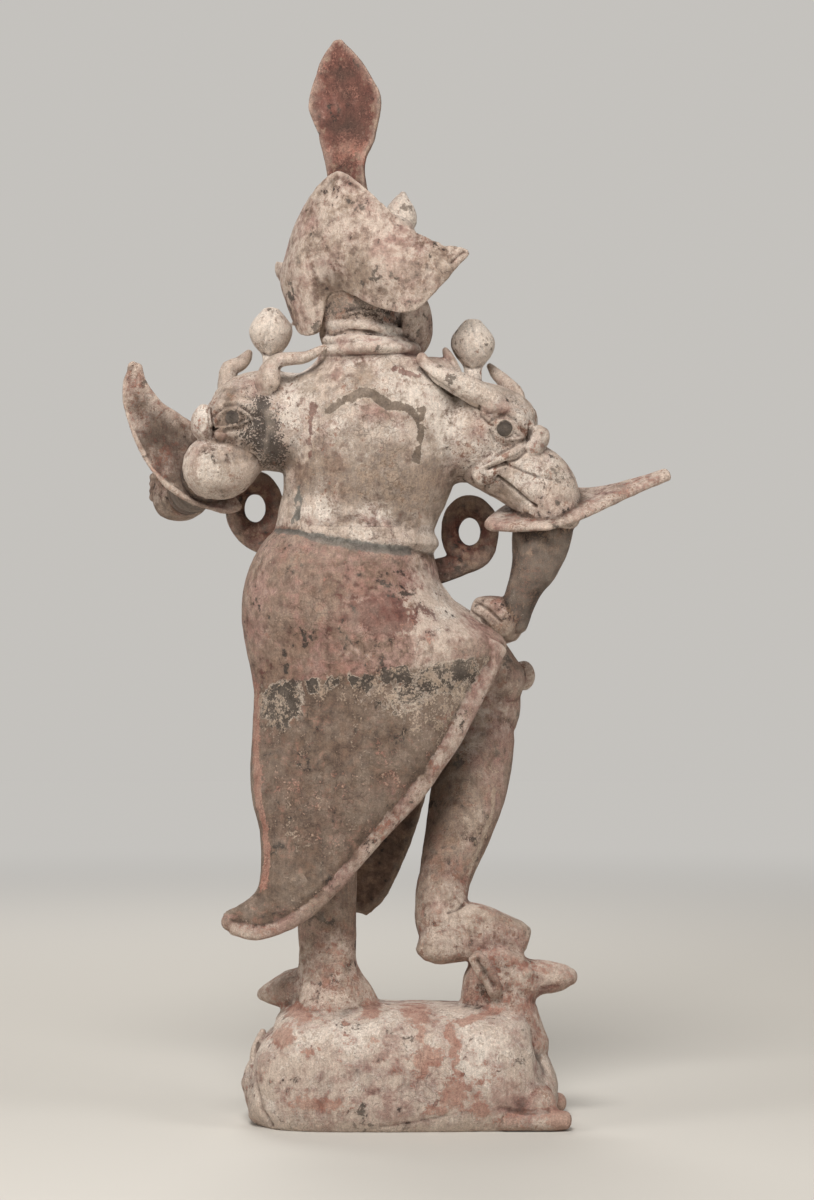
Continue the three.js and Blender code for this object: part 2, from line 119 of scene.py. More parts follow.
floorMesh = bpy.data.meshes.new("floor")
bm = bmesh.new()
bmesh.ops.create_grid(bm, x_segments=1, y_segments=1, size=6)
bmesh.ops.translate(bm, vec=(0, 0, -0.0004), verts=bm.verts)
bm.to_mesh(floorMesh)
bm.free()
floor = bpy.data.objects.new("floor", floorMesh)
bpy.context.scene.collection.objects.link(floor)
board = bpy.data.materials.new("matt painted board")
board.use_nodes = True
boardShader = board.node_tree.nodes["Principled BSDF"]
boardShader.inputs["Roughness"].default_value = 0.9
boardShader.inputs["Specular IOR Level"].default_value = 0.1
boardShader.inputs["Emission Color"].default_value = linear(studio["backdrop"])
onBoard = addNode(board.node_tree, "ShaderNodeTexCoord").outputs["Object"]
away = addNode(board.node_tree, "ShaderNodeVectorMath", {"operation": "LENGTH"}, {0: onBoard}).outputs["Value"]
near, far = studio["floorFades"]
reach = {"interpolation_type": "SMOOTHSTEP", 1: near, 2: far}
fade = addNode(board.node_tree, "ShaderNodeMapRange", reach, {0: away}).outputs[0]
paints = {"data_type": "RGBA", 6: linear(studio["floorColour"]), 7: linear("000000")}
paint = addNode(board.node_tree, "ShaderNodeMix", paints, {0: fade}).outputs[2]
strength = {"operation": "MULTIPLY", 1: studio["backdropGlow"]}
glow = addNode(board.node_tree, "ShaderNodeMath", strength, {0: fade}).outputs[0]
board.node_tree.links.new(paint, boardShader.inputs["Base Color"])
board.node_tree.links.new(glow, boardShader.inputs["Emission Strength"])
floorMesh.materials.append(board)
print("studio ready")

# The forms are modelled one by one, in millimetres, as a potter lays clay on clay, then fused.
mm = 0.001
forms = []


def rowAt(rows, t):  # a smooth curve through rows of numbers, t from 0 to 1
    spans = len(rows) - 1
    at = min(t, 1.0) * spans
    i = min(int(at), spans - 1)
    f = at - i
    a, b, c, d = (np.array(rows[max(0, min(spans, k))], float) for k in (i - 1, i, i + 1, i + 2))
    return b + 0.5 * f * (c - a + f * (2 * a - 5 * b + 4 * c - d + f * (3 * (b - c) + d - a)))


def unit(vector):
    return vector / max(np.linalg.norm(vector), 1e-9)


def keepForm(bm, part):
    bmesh.ops.recalc_face_normals(bm, faces=bm.faces)
    mesh = bpy.data.meshes.new(part)
    bm.to_mesh(mesh)
    bm.free()
    forms.append((part, mesh))


# A rounded form swept through rows of [x, y, z, half-size across, half-size along facing].
def sweepForm(part, rows, facing=(0, 1, 0), sides=28, square=2.0, cup=0.0, dome=0.7):
    bm = bmesh.new()
    towards = unit(np.array(facing, float))
    centres = np.array([row[:3] for row in rows], float)
    count = max(8, int(np.linalg.norm(np.diff(centres, axis=0), axis=1).sum() / 4))
    roundEnd = [math.radians(a) for a in (80, 60, 40, 20)]
    stations = [(0, math.cos(a), -math.sin(a)) for a in roundEnd]
    stations += [(i / count, 1, 0) for i in range(count + 1)]
    stations += [(1, math.cos(a), math.sin(a)) for a in reversed(roundEnd)]
    loops = []
    for t, shrink, push in stations:
        row = rowAt(rows, t)
        step = 0.5 / count
        tangent = unit((rowAt(rows, min(1, t + step)) - rowAt(rows, max(0, t - step)))[:3])
        across = unit(np.cross(towards, tangent))
        depth = unit(np.cross(tangent, across))
        centre = row[:3] + tangent * push * min(row[3], row[4]) * dome
        ring = bmesh.ops.create_circle(bm, cap_ends=False, segments=sides, radius=1)["verts"]
        for v in ring:
            u = math.copysign(abs(v.co.x) ** (2 / square), v.co.x)
            w = math.copysign(abs(v.co.y) ** (2 / square), v.co.y)
            outwards = row[4] * shrink * w + cup * (row[3] / 30) * u * u
            v.co = (centre + across * row[3] * shrink * u + depth * outwards) * mm
        loops.append(list({e for v in ring for e in v.link_edges}))
    for a, b in zip(loops, loops[1:]):
        bmesh.ops.bridge_loops(bm, edges=a + b)
    for end in (loops[0], loops[-1]):
        bmesh.ops.contextual_create(bm, geom=end)
    keepForm(bm, part)


# A slab of clay over the surface point(u, v), half its thickness to each side.
def slabForm(part, point, thick, across, down):
    bm = bmesh.new()
    bmesh.ops.create_grid(bm, x_segments=across, y_segments=down, size=0.5)
    for v in bm.verts:
        v.co = Vector(point(v.co.x + 0.5, v.co.y + 0.5)) * mm
    bm.normal_update()
    for v, normal in [(v, v.normal.copy()) for v in bm.verts]:
        v.co -= normal * thick * mm / 2
    bmesh.ops.solidify(bm, geom=bm.faces[:], thickness=-thick * mm)
    keepForm(bm, part)


def ballForm(part, place, size, turn=0.0):
    bm = bmesh.new()
    turned = Matrix.Translation(Vector(place) * mm) @ Matrix.Rotation(turn, 4, "Z")
    matrix = turned @ Matrix.Diagonal((*(s * mm for s in size), 1))
    bmesh.ops.create_icosphere(bm, subdivisions=4, radius=1, matrix=matrix)
    keepForm(bm, part)


# A roll of clay closed into a ring, its section given by half-sizes across the band and along its axis.
def rollForm(part, place, radius, section, stretch=(1, 1, 1), turn=(0, 0, 0)):
    bm = bmesh.new()
    broad, deep = section
    flattened = Matrix.Translation((radius * mm, 0, 0)) @ Matrix.Diagonal((broad * mm, 1, deep * mm, 1))
    standing = flattened @ Matrix.Rotation(math.pi / 2, 4, "X")
    bmesh.ops.create_circle(bm, cap_ends=False, segments=20, radius=1, matrix=standing)
    whole = bm.verts[:] + bm.edges[:]
    axis = {"cent": (0, 0, 0), "axis": (0, 0, 1)}
    bmesh.ops.spin(bm, geom=whole, **axis, angle=math.tau, steps=64, use_merge=True)
    turned = Matrix.Translation(Vector(place) * mm) @ Euler(turn).to_matrix().to_4x4()
    bmesh.ops.transform(bm, matrix=turned @ Matrix.Diagonal((*stretch, 1)), verts=bm.verts)
    keepForm(bm, part)


# the ox, lying with its head to the warrior's right
ox = {
    "back": 109,
    "halfWidth": 80,
    "body": [  # x, height of the middle, half-height, half-width
        [148, 50, 12, 18], [146, 49, 24, 30], [139, 47, 38, 46], [130, 45, 51, 58], [110, 44, 61, 72],
        [78, 45, 64, 79], [0, 45, 64, 80], [-74, 45, 62, 76], [-104, 44, 55, 64], [-117, 45, 40, 48],
        [-124, 48, 24, 32],
    ],
    "neck": [[-88, 0, 66, 40, 48], [-80, 0, 104, 35, 38], [-77, 0, 128, 30, 31], [-77, 0, 141, 25, 27]],
    "head": [
        [-66, 0, 131, 19, 25], [-82, 0, 131, 26, 31], [-104, 0, 130, 22, 26], [-118, 0, 132, 16.5, 20],
        [-131, 0, 132, 14.5, 17], [-142, 0, 133, 11.5, 13], [-148, 0, 133, 8, 9],
    ],
    "saddle": [[-64, 4, 148, 13, 24], [-82, 2, 150, 14, 27], [-97, 0, 148, 10, 22]],  # clay under the boot
    "tail": [[136, 12, 84, 3, 4], [143, 22, 68, 4, 5], [144, 27, 50, 4.5, 5], [140, 33, 30, 4.5, 6], [132, 38, 12, 5, 7]],
    "ear": [[-77, 34, 122, 7, 8], [-73, 43, 134, 8, 7.5], [-65, 50, 147, 8.6, 6.5], [-57, 53, 158, 6.3, 5.5]],
    "foreleg": [[-84, 56, 10, 10, 16], [-122, 57, 9, 10, 15], [-140, 57, 8.5, 8.5, 12]],
}
sweepForm("ox", [[x, 0, z, up, wide] for x, z, up, wide in ox["body"]], sides=64, square=3, dome=0.3)
sweepForm("oxhead", ox["neck"])
sweepForm("oxhead", ox["head"], dome=0.7)
sweepForm("oxhead", ox["saddle"], square=3)
sweepForm("ox", ox["tail"], sides=16)
for side in (1, -1):
    sweepForm("ear", [[x, side * y, z, a, b] for x, y, z, a, b in ox["ear"]], square=3, sides=24, dome=0.1)
    ballForm("oxhead", (-106, side * 22, 138), (6, 5, 5))
    sweepForm("oxleg", [[x, side * y, z, a, b] for x, y, z, a, b in ox["foreleg"]], square=2.4)
    ballForm("oxleg", (-110, side * 46, 20), (23, 20, 21))
    ballForm("ox", (112, side * 31, 44), (34, 38, 45))
print("ox modelled")

# legs, their clay run out over the ox's back
legs = {
    "standing": [
        [80, -2, 440, 40, 42], [82, -2, 360, 36, 38], [80, 0, 270, 30, 32], [78, 3, 205, 28, 28],
        [77, 4, 160, 26, 27],
    ],
    "runOut": [[77, 4, 160, 26, 27], [77, 4, 144, 27, 29], [75, 4, 128, 32, 34], [72, 4, 112, 40, 41], [72, 2, 98, 50, 48]],
    "standingBoot": [
        [66, 8, 119, 18, 26], [82, 0, 122, 20, 28], [108, -17, 119, 19, 26], [126, -29, 115, 12, 20],
        [135, -35, 113, 7, 13],
    ],
    "thigh": [[20, -10, 455, 48, 50], [-24, -34, 438, 45, 46], [-56, -52, 418, 40, 42], [-80, -62, 399, 32, 36]],
    "breeches": [[-72, -62, 420, 27, 28], [-71, -60, 397, 32, 34], [-69, -57, 374, 33, 35], [-66, -52, 358, 28, 30]],
    "calf": [
        [-66, -54, 372, 29, 31], [-64, -46, 345, 33, 34], [-57, -37, 315, 35, 35], [-50, -29, 288, 34, 34],
        [-41, -20, 256, 29, 30], [-31, -9, 222, 24, 25],
    ],
    "ankle": [[-31, -9, 222, 24, 25], [-28, -4, 204, 24, 25.5], [-28, -1, 188, 24.5, 26], [-29, 1, 172, 22, 24]],
    "raisedBoot": [
        [-14, 3, 175, 17, 18], [-21, 3, 172, 26, 23], [-38, 0, 173.5, 27, 26], [-60, -4, 175, 25, 28],
        [-82, -8, 171.5, 19.5, 27], [-98, -11, 169, 15, 24], [-106, -12, 167, 11.5, 20],
    ],
    "bootTops": (222, 160),  # of the raised boot and the standing one, where their coats meet the leg's
    "kneeKnob": {"place": (-106, -68, 409), "size": (11, 11, 14)},
}
sweepForm("leg", legs["standing"], dome=0.2)
sweepForm("boot", legs["runOut"], dome=0.2)
sweepForm("boot", legs["standingBoot"], facing=(0.5, 0.86, 0))
sweepForm("leg", legs["thigh"])
sweepForm("leg", legs["breeches"], dome=0.5)
sweepForm("leg", legs["calf"], dome=0.2)
sweepForm("boot", legs["ankle"], dome=0.2)
sweepForm("boot", legs["raisedBoot"], square=4, dome=0.15)
ballForm("knob", **legs["kneeKnob"])
print("legs modelled")

# skirt: a back panel that hangs to a tail, its rolled hem, its turned left edge, and the front apron
skirt = {
    "thick": 9,
    "hips": [
        [50, -6, 546, 68, 46], [55, -12, 516, 82, 50], [60, -14, 486, 90, 52], [60, -14, 454, 88, 54],
        [58, -12, 420, 82, 52], [62, -8, 394, 66, 44],
    ],
    # left edge x, y, z, right edge x, y, z, and how far the cloth bows out to the back
    "back": [
        [119, 0, 546, -16, 0, 546, 53], [142, -2, 517, -21, 0, 502, 65], [152, -4, 478, -48, 4, 466, 72],
        [148, 0, 437, -84, 16, 439, 66], [140, 6, 398, -67, 28, 405, 54], [142, 16, 352, -40, 38, 354, 44],
        [142, 28, 308, -6, 46, 306, 33], [134, 41, 271, 34, 52, 263, 23], [132, 52, 242, 67, 59, 225, 15],
        [135, 61, 218, 100, 65, 195, 8], [149, 66, 204, 136, 68, 180, 3], [170, 68, 195, 162, 68, 184, 0],
    ],
    "cornerRow": 3,
    "hem": {"across": 0.93, "half": 6, "widens": 0.03, "deep": 6, "proud": 3, "facing": (-0.55, 0.83, 0)},
    "tailTip": {"place": (164, 68, 190), "size": (8, 6, 9)},
    "apron": [
        [104, -44, 520, 0, -44, 520, -22], [120, -54, 468, -22, -60, 468, -26], [124, -58, 420, -30, -74, 420, -24],
        [120, -62, 370, -28, -84, 370, -16], [112, -64, 320, -18, -85, 318, -12], [100, -66, 275, -6, -82, 270, -8],
        [84, -68, 235, 8, -78, 235, -6], [66, -70, 203, 24, -76, 202, -4], [54, -72, 186, 44, -74, 184, -2],
    ],
}


def acrossCloth(row, u):  # round the body at the left edge and flatter towards the right one
    row = np.array(row, float)
    across = (1 - math.cos(math.pi * u)) / 2
    across += max(0, u - 0.5) * (u - across)
    place = row[:3] + (row[3:6] - row[:3]) * across
    place[1] += row[6] * math.sin(math.pi * u)
    return place


def hungPanel(rows):
    return lambda u, v: acrossCloth(rowAt(rows, v), u)


hem = skirt["hem"]
hemWay = unit(np.array(hem["facing"]))
sweepForm("skirt", skirt["hips"], sides=48, dome=0.3)
slabForm("skirt", hungPanel(skirt["back"]), skirt["thick"], 60, 90)
hemRows = []
for row in skirt["back"][skirt["cornerRow"]:]:
    place = acrossCloth(row, hem["across"]) + hemWay * hem["proud"]
    half = hem["half"] + hem["widens"] * math.dist(row[:3], row[3:6])
    hemRows.append([*place, half, hem["deep"]])
sweepForm("hem", hemRows, facing=hemWay, sides=24, square=2.6)
ballForm("hem", **skirt["tailTip"])
slabForm("apron", hungPanel(skirt["apron"]), skirt["thick"], 40, 80)
print("skirt modelled")

# armoured body
midline = 36
torso = {
    "trunk": [
        [36, 0, 716, 30, 32], [37, 0, 703, 50, 40], [36, 0, 690, 78, 47], [35, 0, 670, 88, 54], [36, 0, 640, 87, 58],
        [39, 0, 604, 81, 58], [46, 0, 573, 74, 54], [51, 0, 552, 72, 53], [52, 0, 534, 78, 57],
    ],
    "neck": [[40, 2, 700, 42, 38], [44, 2, 716, 35, 33], [45, 2, 735, 33, 32], [46, 1, 749, 37, 38], [43, -2, 782, 38, 39]],
    "scarf": [
        {"place": (42, 1, 729), "radius": 32, "section": (6, 5), "turn": (0.05, -0.12, 0)},
        {"place": (40, 1, 719), "radius": 35, "section": (7, 5), "turn": (-0.05, -0.02, 0)},
        {"place": (38, 1, 709), "radius": 40, "section": (8, 6), "turn": (0.04, 0.05, 0)},
    ],
    "strip": [[36, -50, 676, 7, 8], [38, -57, 634, 7, 8], [44, -54, 586, 9, 8]],
    "chest": {"out": 38, "place": (-49, 634), "size": (32, 15, 32), "turn": 0.35},
    "belly": {"place": (46, -36, 574), "size": (46, 26, 27)},
}
chest = torso["chest"]
sweepForm("torso", torso["trunk"], sides=56, dome=0.3)
sweepForm("neck", torso["neck"], sides=36)
for fold in torso["scarf"]:
    rollForm("scarf", **fold)
for side in (1, -1):
    ballForm("torso", (midline + side * chest["out"], *chest["place"]), chest["size"], side * chest["turn"])
sweepForm("torso", torso["strip"], sides=16)
ballForm("torso", **torso["belly"])

# sash: a flat band that loops once at each side of the waist and runs on to the hip
sash = {
    "section": (9.5, 6),
    "radius": 20,
    "stretch": (0.93, 1.2, 1),
    "left": {
        "middle": (146, -44, 566),
        "band": [[163, -44, 550, 7, 6], [152, -44, 541, 10, 6], [138, -44, 534, 11, 7], [118, -44, 528, 12, 9]],
    },
    "right": {
        "middle": (-55, -44, 544),
        "band": [
            [-74, -44, 530, 7, 6], [-64, -44, 521, 10, 6], [-48, -44, 515, 11, 6], [-28, -44, 508, 12, 7],
            [-6, -44, 503, 12, 9], [14, -42, 500, 11, 10],
        ],
    },
}
for name in ("left", "right"):
    ring = {"section": sash["section"], "stretch": sash["stretch"], "turn": (math.pi / 2, 0, 0)}
    rollForm("sash", sash[name]["middle"], sash["radius"], **ring)
    sweepForm("sash", sash[name]["band"], sides=20, square=2.6)
print("body modelled")

# head and helmet, turned to the warrior's right
helmet = {
    "yaw": math.radians(35),
    "axis": (36, -5),
    "skull": [
        [20, -32, 720, 19, 18], [24, -22, 738, 32, 36], [29, -14, 768, 39, 46], [33, -9, 798, 44, 51],
        [35, -7, 820, 37, 43],
    ],
    "nose": [[3, -49, 784, 4, 5], [1, -54, 768, 5, 7], [0, -57, 757, 7, 8]],
    "guardThick": 8,
    "flaps": [(100, 46, (12, 25, 29)), (-118, 42, (9, 22, 29))],  # degrees from the back, radius and half-sizes
    # degrees from the back of the head, then radius and height of the lower edge, middle and upper edge
    "guard": [
        [-90, 106, 794, 106, 795, 105, 797], [-84, 100, 781, 102, 791, 96, 799], [-79, 93, 768, 97, 784, 86, 802],
        [-65, 78, 743, 85, 779, 73, 815], [-45, 62, 745, 74, 790, 60, 838], [-20, 50, 758, 64, 802, 55, 861],
        [0, 46, 764, 62, 808, 51, 871], [20, 49, 758, 65, 800, 54, 862], [30, 53, 729, 70, 790, 57, 853],
        [45, 62, 725, 74, 782, 63, 839], [60, 69, 736, 80, 776, 71, 819], [80, 84, 764, 91, 783, 87, 798],
        [90, 106, 787, 108, 793, 106, 798],
    ],
    "bud": [[13, -40, 818, 7, 7], [10, -46, 834, 15, 14], [9, -47, 846, 14, 13], [8, -48, 856, 7, 7], [7, -48, 861, 3, 3]],
    "leaf": [
        [46, 4, 824, 15, 12], [57, 10, 862, 17, 7], [59, 10, 884, 19, 7], [58, 10, 900, 25, 6], [57, 10, 911, 28, 6],
        [58, 10, 933, 34, 6], [60, 9, 946, 32, 6], [62, 8, 960, 26, 6], [65, 6, 978, 17, 5], [67, 4, 994, 5, 4],
    ],
}
yaw = helmet["yaw"]
faceWay = (-math.sin(yaw), -math.cos(yaw), 0)


def onHelmet(degrees, radius, z):
    angle = math.radians(degrees) + yaw
    return [helmet["axis"][0] + radius * math.sin(angle), helmet["axis"][1] + radius * math.cos(angle), z]


def guardPoint(u, v):
    row = rowAt(helmet["guard"], v)
    return rowAt([onHelmet(row[0], row[k], row[k + 1]) for k in (1, 3, 5)], u)


sweepForm("face", helmet["skull"], facing=faceWay, sides=40, dome=0.5)
sweepForm("face", helmet["nose"], facing=faceWay, sides=20, dome=0.5)
rollForm("helmet", (34, -8, 800), 45, (7, 7), stretch=(1, 1.12, 1), turn=(0, 0, -yaw))
for degrees, radius, size in helmet["flaps"]:
    ballForm("helmet", onHelmet(degrees, radius, 735), size, -yaw)
slabForm("guard", guardPoint, helmet["guardThick"], 40, 110)
ballForm("helmet", (36, -5, 780), (56, 52, 22), -yaw)
sweepForm("bud", helmet["bud"], sides=20)
sweepForm("leaf", helmet["leaf"], facing=(0.2, 0.98, 0), square=4, cup=11, sides=40)
print("head modelled")

# A monster's head caps each shoulder. Places on it are [outwards, towards the back, up].
shoulderYaw = math.radians(25)
shoulders = {
    "bud": [[-40, 9], [-24, 8], [-18, 10.5], [-10, 17], [0, 20.4], [8, 18.5], [15, 13.5], [20.5, 8.5]],  # height, radius
    "left": {
        "side": 1, "reach": 118, "height": 645, "budPlace": (-27, 83), "jaws": (-1,),
        "nostrils": [((174, 33, 631.5), (6.5, 6, 6)), ((191, 22, 644), (9, 8, 15))],
        "mask": [[-60, 16, -3, 47, 48], [-32, 8, 0, 46, 46], [-8, 3, 2, 45, 44], [10, 3, 0, 37, 39], [20, 3, -2, 31, 33], [26, 3, -3, 24, 27]],
        "snout": [[41, 4, 12, 5, 8], [43, 4, 5, 8, 12], [43.5, 4, -3, 9.5, 15], [41.5, 4, -11, 8.5, 13], [37, 4, -18, 4.5, 7]],
        "nearHorn": [
            [132, 34, 672, 8, 8], [131, 35, 680, 12, 12], [128, 36, 692, 9.5, 9.5], [120, 37, 699, 7, 7],
            [108, 37, 700.5, 6, 6], [96, 36, 702, 5.5, 5.5], [86, 33, 707, 4.5, 4.5], [79, 31, 712, 2.5, 2.5],
        ],
        "farHorn": [
            [5, -27, 26, 10, 10], [5, -27, 39.5, 9.8, 9.8], [3.8, -27, 50, 8.7, 8.7], [-7, -27, 55.5, 7, 7],
            [-12.6, -26, 61, 5.5, 5.5], [-15.5, -25, 66, 3, 3],
        ],
    },
    "right": {
        "side": -1, "reach": 114, "height": 635, "budPlace": (-23, 82), "jaws": (1, -1),
        "nostrils": [((-118, 26, 630.5), (9.5, 9, 9.5)), ((-113.5, 30, 620.5), (8.5, 8, 8))],
        "mask": [[-60, 16, -3, 47, 48], [-32, 8, 0, 46, 46], [-8, 3, 2, 45, 44], [12, 3, 2, 38, 39], [23, 3, 2, 32, 33], [29, 3, 1, 25, 27]],
        "snout": [[44, 5, 3, 5, 7], [46, 5, -3, 9, 11], [45.5, 5, -8, 9.5, 12], [43, 6, -15, 8, 10], [41, 6, -20, 5, 6]],
        "nearHorn": [
            [-80, 30, 655, 12, 13], [-70, 35, 664, 12.5, 13], [-56, 40, 671, 12, 12], [-41, 43, 678.5, 11, 10.5],
            [-27, 44, 685, 8.5, 8.5], [-16, 42, 693.5, 6.8, 7], [-9, 40, 702, 5, 5],
        ],
        "farHorn": [
            [9.5, -27, 24, 9, 9], [9.5, -27, 31, 8.5, 8.5], [7.5, -27, 38.6, 8, 8], [-0.8, -27, 47, 7.2, 7],
            [-11, -26, 56.2, 5.5, 5.5], [-17.5, -25, 64, 3, 3],
        ],
        "flame": [[-26, 28, 48, 6, 6], [-28, 28, 58, 4.6, 4.6], [-33, 28, 66, 5, 4.4], [-37, 28, 73, 3.8, 3.4], [-38.5, 28, 76, 2.5, 2.4]],
    },
}
for name in ("left", "right"):
    shoulder = shoulders[name]
    side = shoulder["side"]
    maskWay = (-side * math.sin(shoulderYaw), math.cos(shoulderYaw), 0)

    def maskRows(rows):
        placed = []
        for out, toBack, up, *sizes in rows:
            sideways = out * math.cos(shoulderYaw) - toBack * math.sin(shoulderYaw)
            backwards = out * math.sin(shoulderYaw) + toBack * math.cos(shoulderYaw)
            x = midline + side * (shoulder["reach"] + sideways)
            placed.append([x, backwards, shoulder["height"] + up, *sizes])
        return placed

    inset, budUp = shoulder["budPlace"]
    sweepForm("mask", maskRows(shoulder["mask"]), facing=maskWay, sides=44, dome=0.35)
    sweepForm("snout", maskRows(shoulder["snout"]), facing=maskWay, sides=24, dome=0.5)
    sweepForm("bud", maskRows([[inset, 0, budUp + up, r, r] for up, r in shoulders["bud"]]), dome=0.35)
    for place, size in shoulder["nostrils"]:
        ballForm("snout", place, size)
    sweepForm("horn", shoulder["nearHorn"], facing=maskWay, sides=20)
    sweepForm("horn", maskRows(shoulder["farHorn"]), facing=maskWay, sides=20)
    if "flame" in shoulder:
        sweepForm("horn", maskRows(shoulder["flame"]), facing=maskWay, sides=20)
    for near in shoulder["jaws"]:
        jaw = [[30, near * 19, -20, 8, 8], [14, near * 28, -29, 10, 10], [-2, near * 31, -42, 9, 9]]
        sweepForm("mask", maskRows(jaw), facing=maskWay, sides=16)
print("shoulders modelled")

# arms, with a leaf-shaped cuff round each sleeve
arms = {
    "leftSleeve": [
        [136, -4, 626, 16, 20], [150, 0, 616, 21, 24], [164, 6, 607, 28, 29], [174, 10, 603, 30, 30],
        [184, 12, 601.5, 29, 29],
    ],
    "leftForearm": [[184, 6, 598, 26, 26], [198, -36, 588, 23, 23], [212, -84, 580, 19, 19]],
    "leftFist": [[210, -90, 580, 20, 20], [221, -106, 579, 25, 23], [226, -122, 578, 20, 21]],
    "leftFingers": {"heights": (598, 591.5, 585, 578.5), "roll": [[233, -98, 5, 4], [243, -108, 5, 4.2], [245, -120, 5, 4.2], [238, -131, 5, 4]]},
    "leftCuff": [
        [160, -8, 567, 4, 3.5], [173, -10, 572, 13, 4], [192, -12, 588, 27, 4.5], [212, -12, 610, 32, 4.5],
        [233, -10, 633, 27, 4.5], [247, -4, 654, 19, 4.5], [255, 2, 677, 12, 4.5], [254, 6, 697, 6, 4],
    ],
    "rightSleeve": [
        [-58, 0, 622, 33, 32], [-92, 5, 603, 32, 33], [-118, 8, 586, 33, 33], [-127, 9, 566, 30, 31],
        [-128, 9, 550, 26, 27],
    ],
    "rightForearm": [
        [-124, 8, 566, 28, 28], [-120, 7, 536, 27, 26], [-114, 5, 512, 22, 23], [-106, 2, 494, 17, 20],
        [-99, -2, 476, 15, 18], [-94, -5, 460, 15, 16],
    ],
    "rightFist": [[-97, -6, 456, 15, 20], [-91, -8, 459, 21, 21], [-76, -12, 466, 19, 22], [-62, -16, 470, 14, 19]],
    "rightCuff": [
        [-72, 24, 549, 8, 5], [-84, 18, 551, 24, 5], [-108, 10, 558, 42, 5], [-132, 8, 564, 43, 5],
        [-151, 8, 569, 38, 5], [-173, 7, 574, 25, 5], [-205, 3, 585, 14, 5], [-236, 0, 596, 8, 5],
    ],
}
fingers = arms["leftFingers"]
sweepForm("sleeve", arms["leftSleeve"], dome=0.9)
sweepForm("arm", arms["leftForearm"], facing=(0, 0, 1))
sweepForm("hand", arms["leftFist"], facing=(0, 0, 1), square=2.5, dome=0.5)
for height in fingers["heights"]:
    sweepForm("hand", [[x, y, height, a, b] for x, y, a, b in fingers["roll"]], facing=(0, 0, 1), sides=16)
sweepForm("cuff", arms["leftCuff"], facing=(-0.3, 0.93, 0.15), square=3, cup=10, sides=36)
sweepForm("sleeve", arms["rightSleeve"], dome=0.3)
sweepForm("arm", arms["rightForearm"])
sweepForm("hand", arms["rightFist"], square=3, dome=0.4)
sweepForm("cuff", arms["rightCuff"], facing=(0.22, 0.38, 0.9), square=3, sides=36)
print("arms modelled")

# fusing
clay = {
    "voxel": 1.25,  # mm
    "seams": {"everywhere": 6, "broad": 90},  # rounds of smoothing that fill a seam with clay
    "broadSeams": ("torso", "mask", "neck", "ox", "oxhead", "oxleg", "boot"),
    "soften": 2,
    "unevenness": ((26, 0.9), (8, 0.35)),  # wavelength and height in mm, from hands and tools
    "triangles": 192000,
    "fine": [  # x, y, z and radius of what keeps every point of the fused clay
        (168, 30, 640, 36), (-92, 30, 622, 38), (232, -115, 586, 32), (-72, -6, 466, 26), (4, -44, 760, 40),
        (-80, 40, 145, 18),
    ],
}
partNames = sorted({part for part, _ in forms})
whole = bmesh.new()
partOfFace = []
for part, mesh in forms:
    partOfFace += [partNames.index(part)] * len(mesh.polygons)
    whole.from_mesh(mesh)
    bpy.data.meshes.remove(mesh)
formTree = BVHTree.FromBMesh(whole)
fused = bpy.data.meshes.new("warrior_on_ox_clay")
whole.to_mesh(fused)
whole.free()
warrior = bpy.data.objects.new("warrior_on_ox_clay", fused)
bpy.context.scene.collection.objects.link(warrior)


def bake(obj):  # the modifiers' result becomes the mesh
    graph = bpy.context.evaluated_depsgraph_get()
    made = bpy.data.meshes.new_from_object(obj.evaluated_get(graph), depsgraph=graph)
    obj.modifiers.clear()
    old = obj.data
    obj.data = made
    bpy.data.meshes.remove(old)


def places(mesh):  # of the vertices, in mm
    flat = np.empty(len(mesh.vertices) * 3, np.float32)
    mesh.vertices.foreach_get("co", flat)
    return flat.reshape(-1, 3).astype(float) / mm


def moveTo(mesh, newPlaces):
    mesh.vertices.foreach_set("co", (newPlaces * mm).astype(np.float32).ravel())
    mesh.update()


def normalsOf(mesh):
    flat = np.empty(len(mesh.vertices) * 3, np.float32)
    mesh.vertex_normals.foreach_get("vector", flat)
    return flat.reshape(-1, 3).astype(float)


def partsOf(mesh):  # the form nearest to each vertex, as its place in partNames
    return np.array([partOfFace[formTree.find_nearest(v.co)[2]] for v in mesh.vertices])


def within(parts, names):
    return np.isin(parts, [partNames.index(name) for name in names]).astype(float)


def smoothed(obj, rounds):
    smooth = obj.modifiers.new("smooth", "SMOOTH")
    smooth.iterations = rounds
    smooth.factor = 0.5
    graph = bpy.context.evaluated_depsgraph_get()
    result = places(obj.evaluated_get(graph).data)
    obj.modifiers.clear()
    return result


def fillSeams(obj, rounds, amount):  # clay is only added, where the smoothed surface stands proud
    here, normal = places(obj.data), normalsOf(obj.data)
    rise = np.maximum(0, ((smoothed(obj, rounds) - here) * normal).sum(1))
    moveTo(obj.data, here + normal * (rise * amount)[:, None])


remesh = warrior.modifiers.new("fuse", "REMESH")
remesh.mode = "VOXEL"
remesh.voxel_size = clay["voxel"] * mm
bake(warrior)
parts = partsOf(warrior.data)
print("fused", len(parts))

fillSeams(warrior, clay["seams"]["everywhere"], np.ones(len(parts)))
fillSeams(warrior, clay["seams"]["broad"], within(parts, clay["broadSeams"]))
moveTo(warrior.data, smoothed(warrior, clay["soften"]))
print("seams filled")

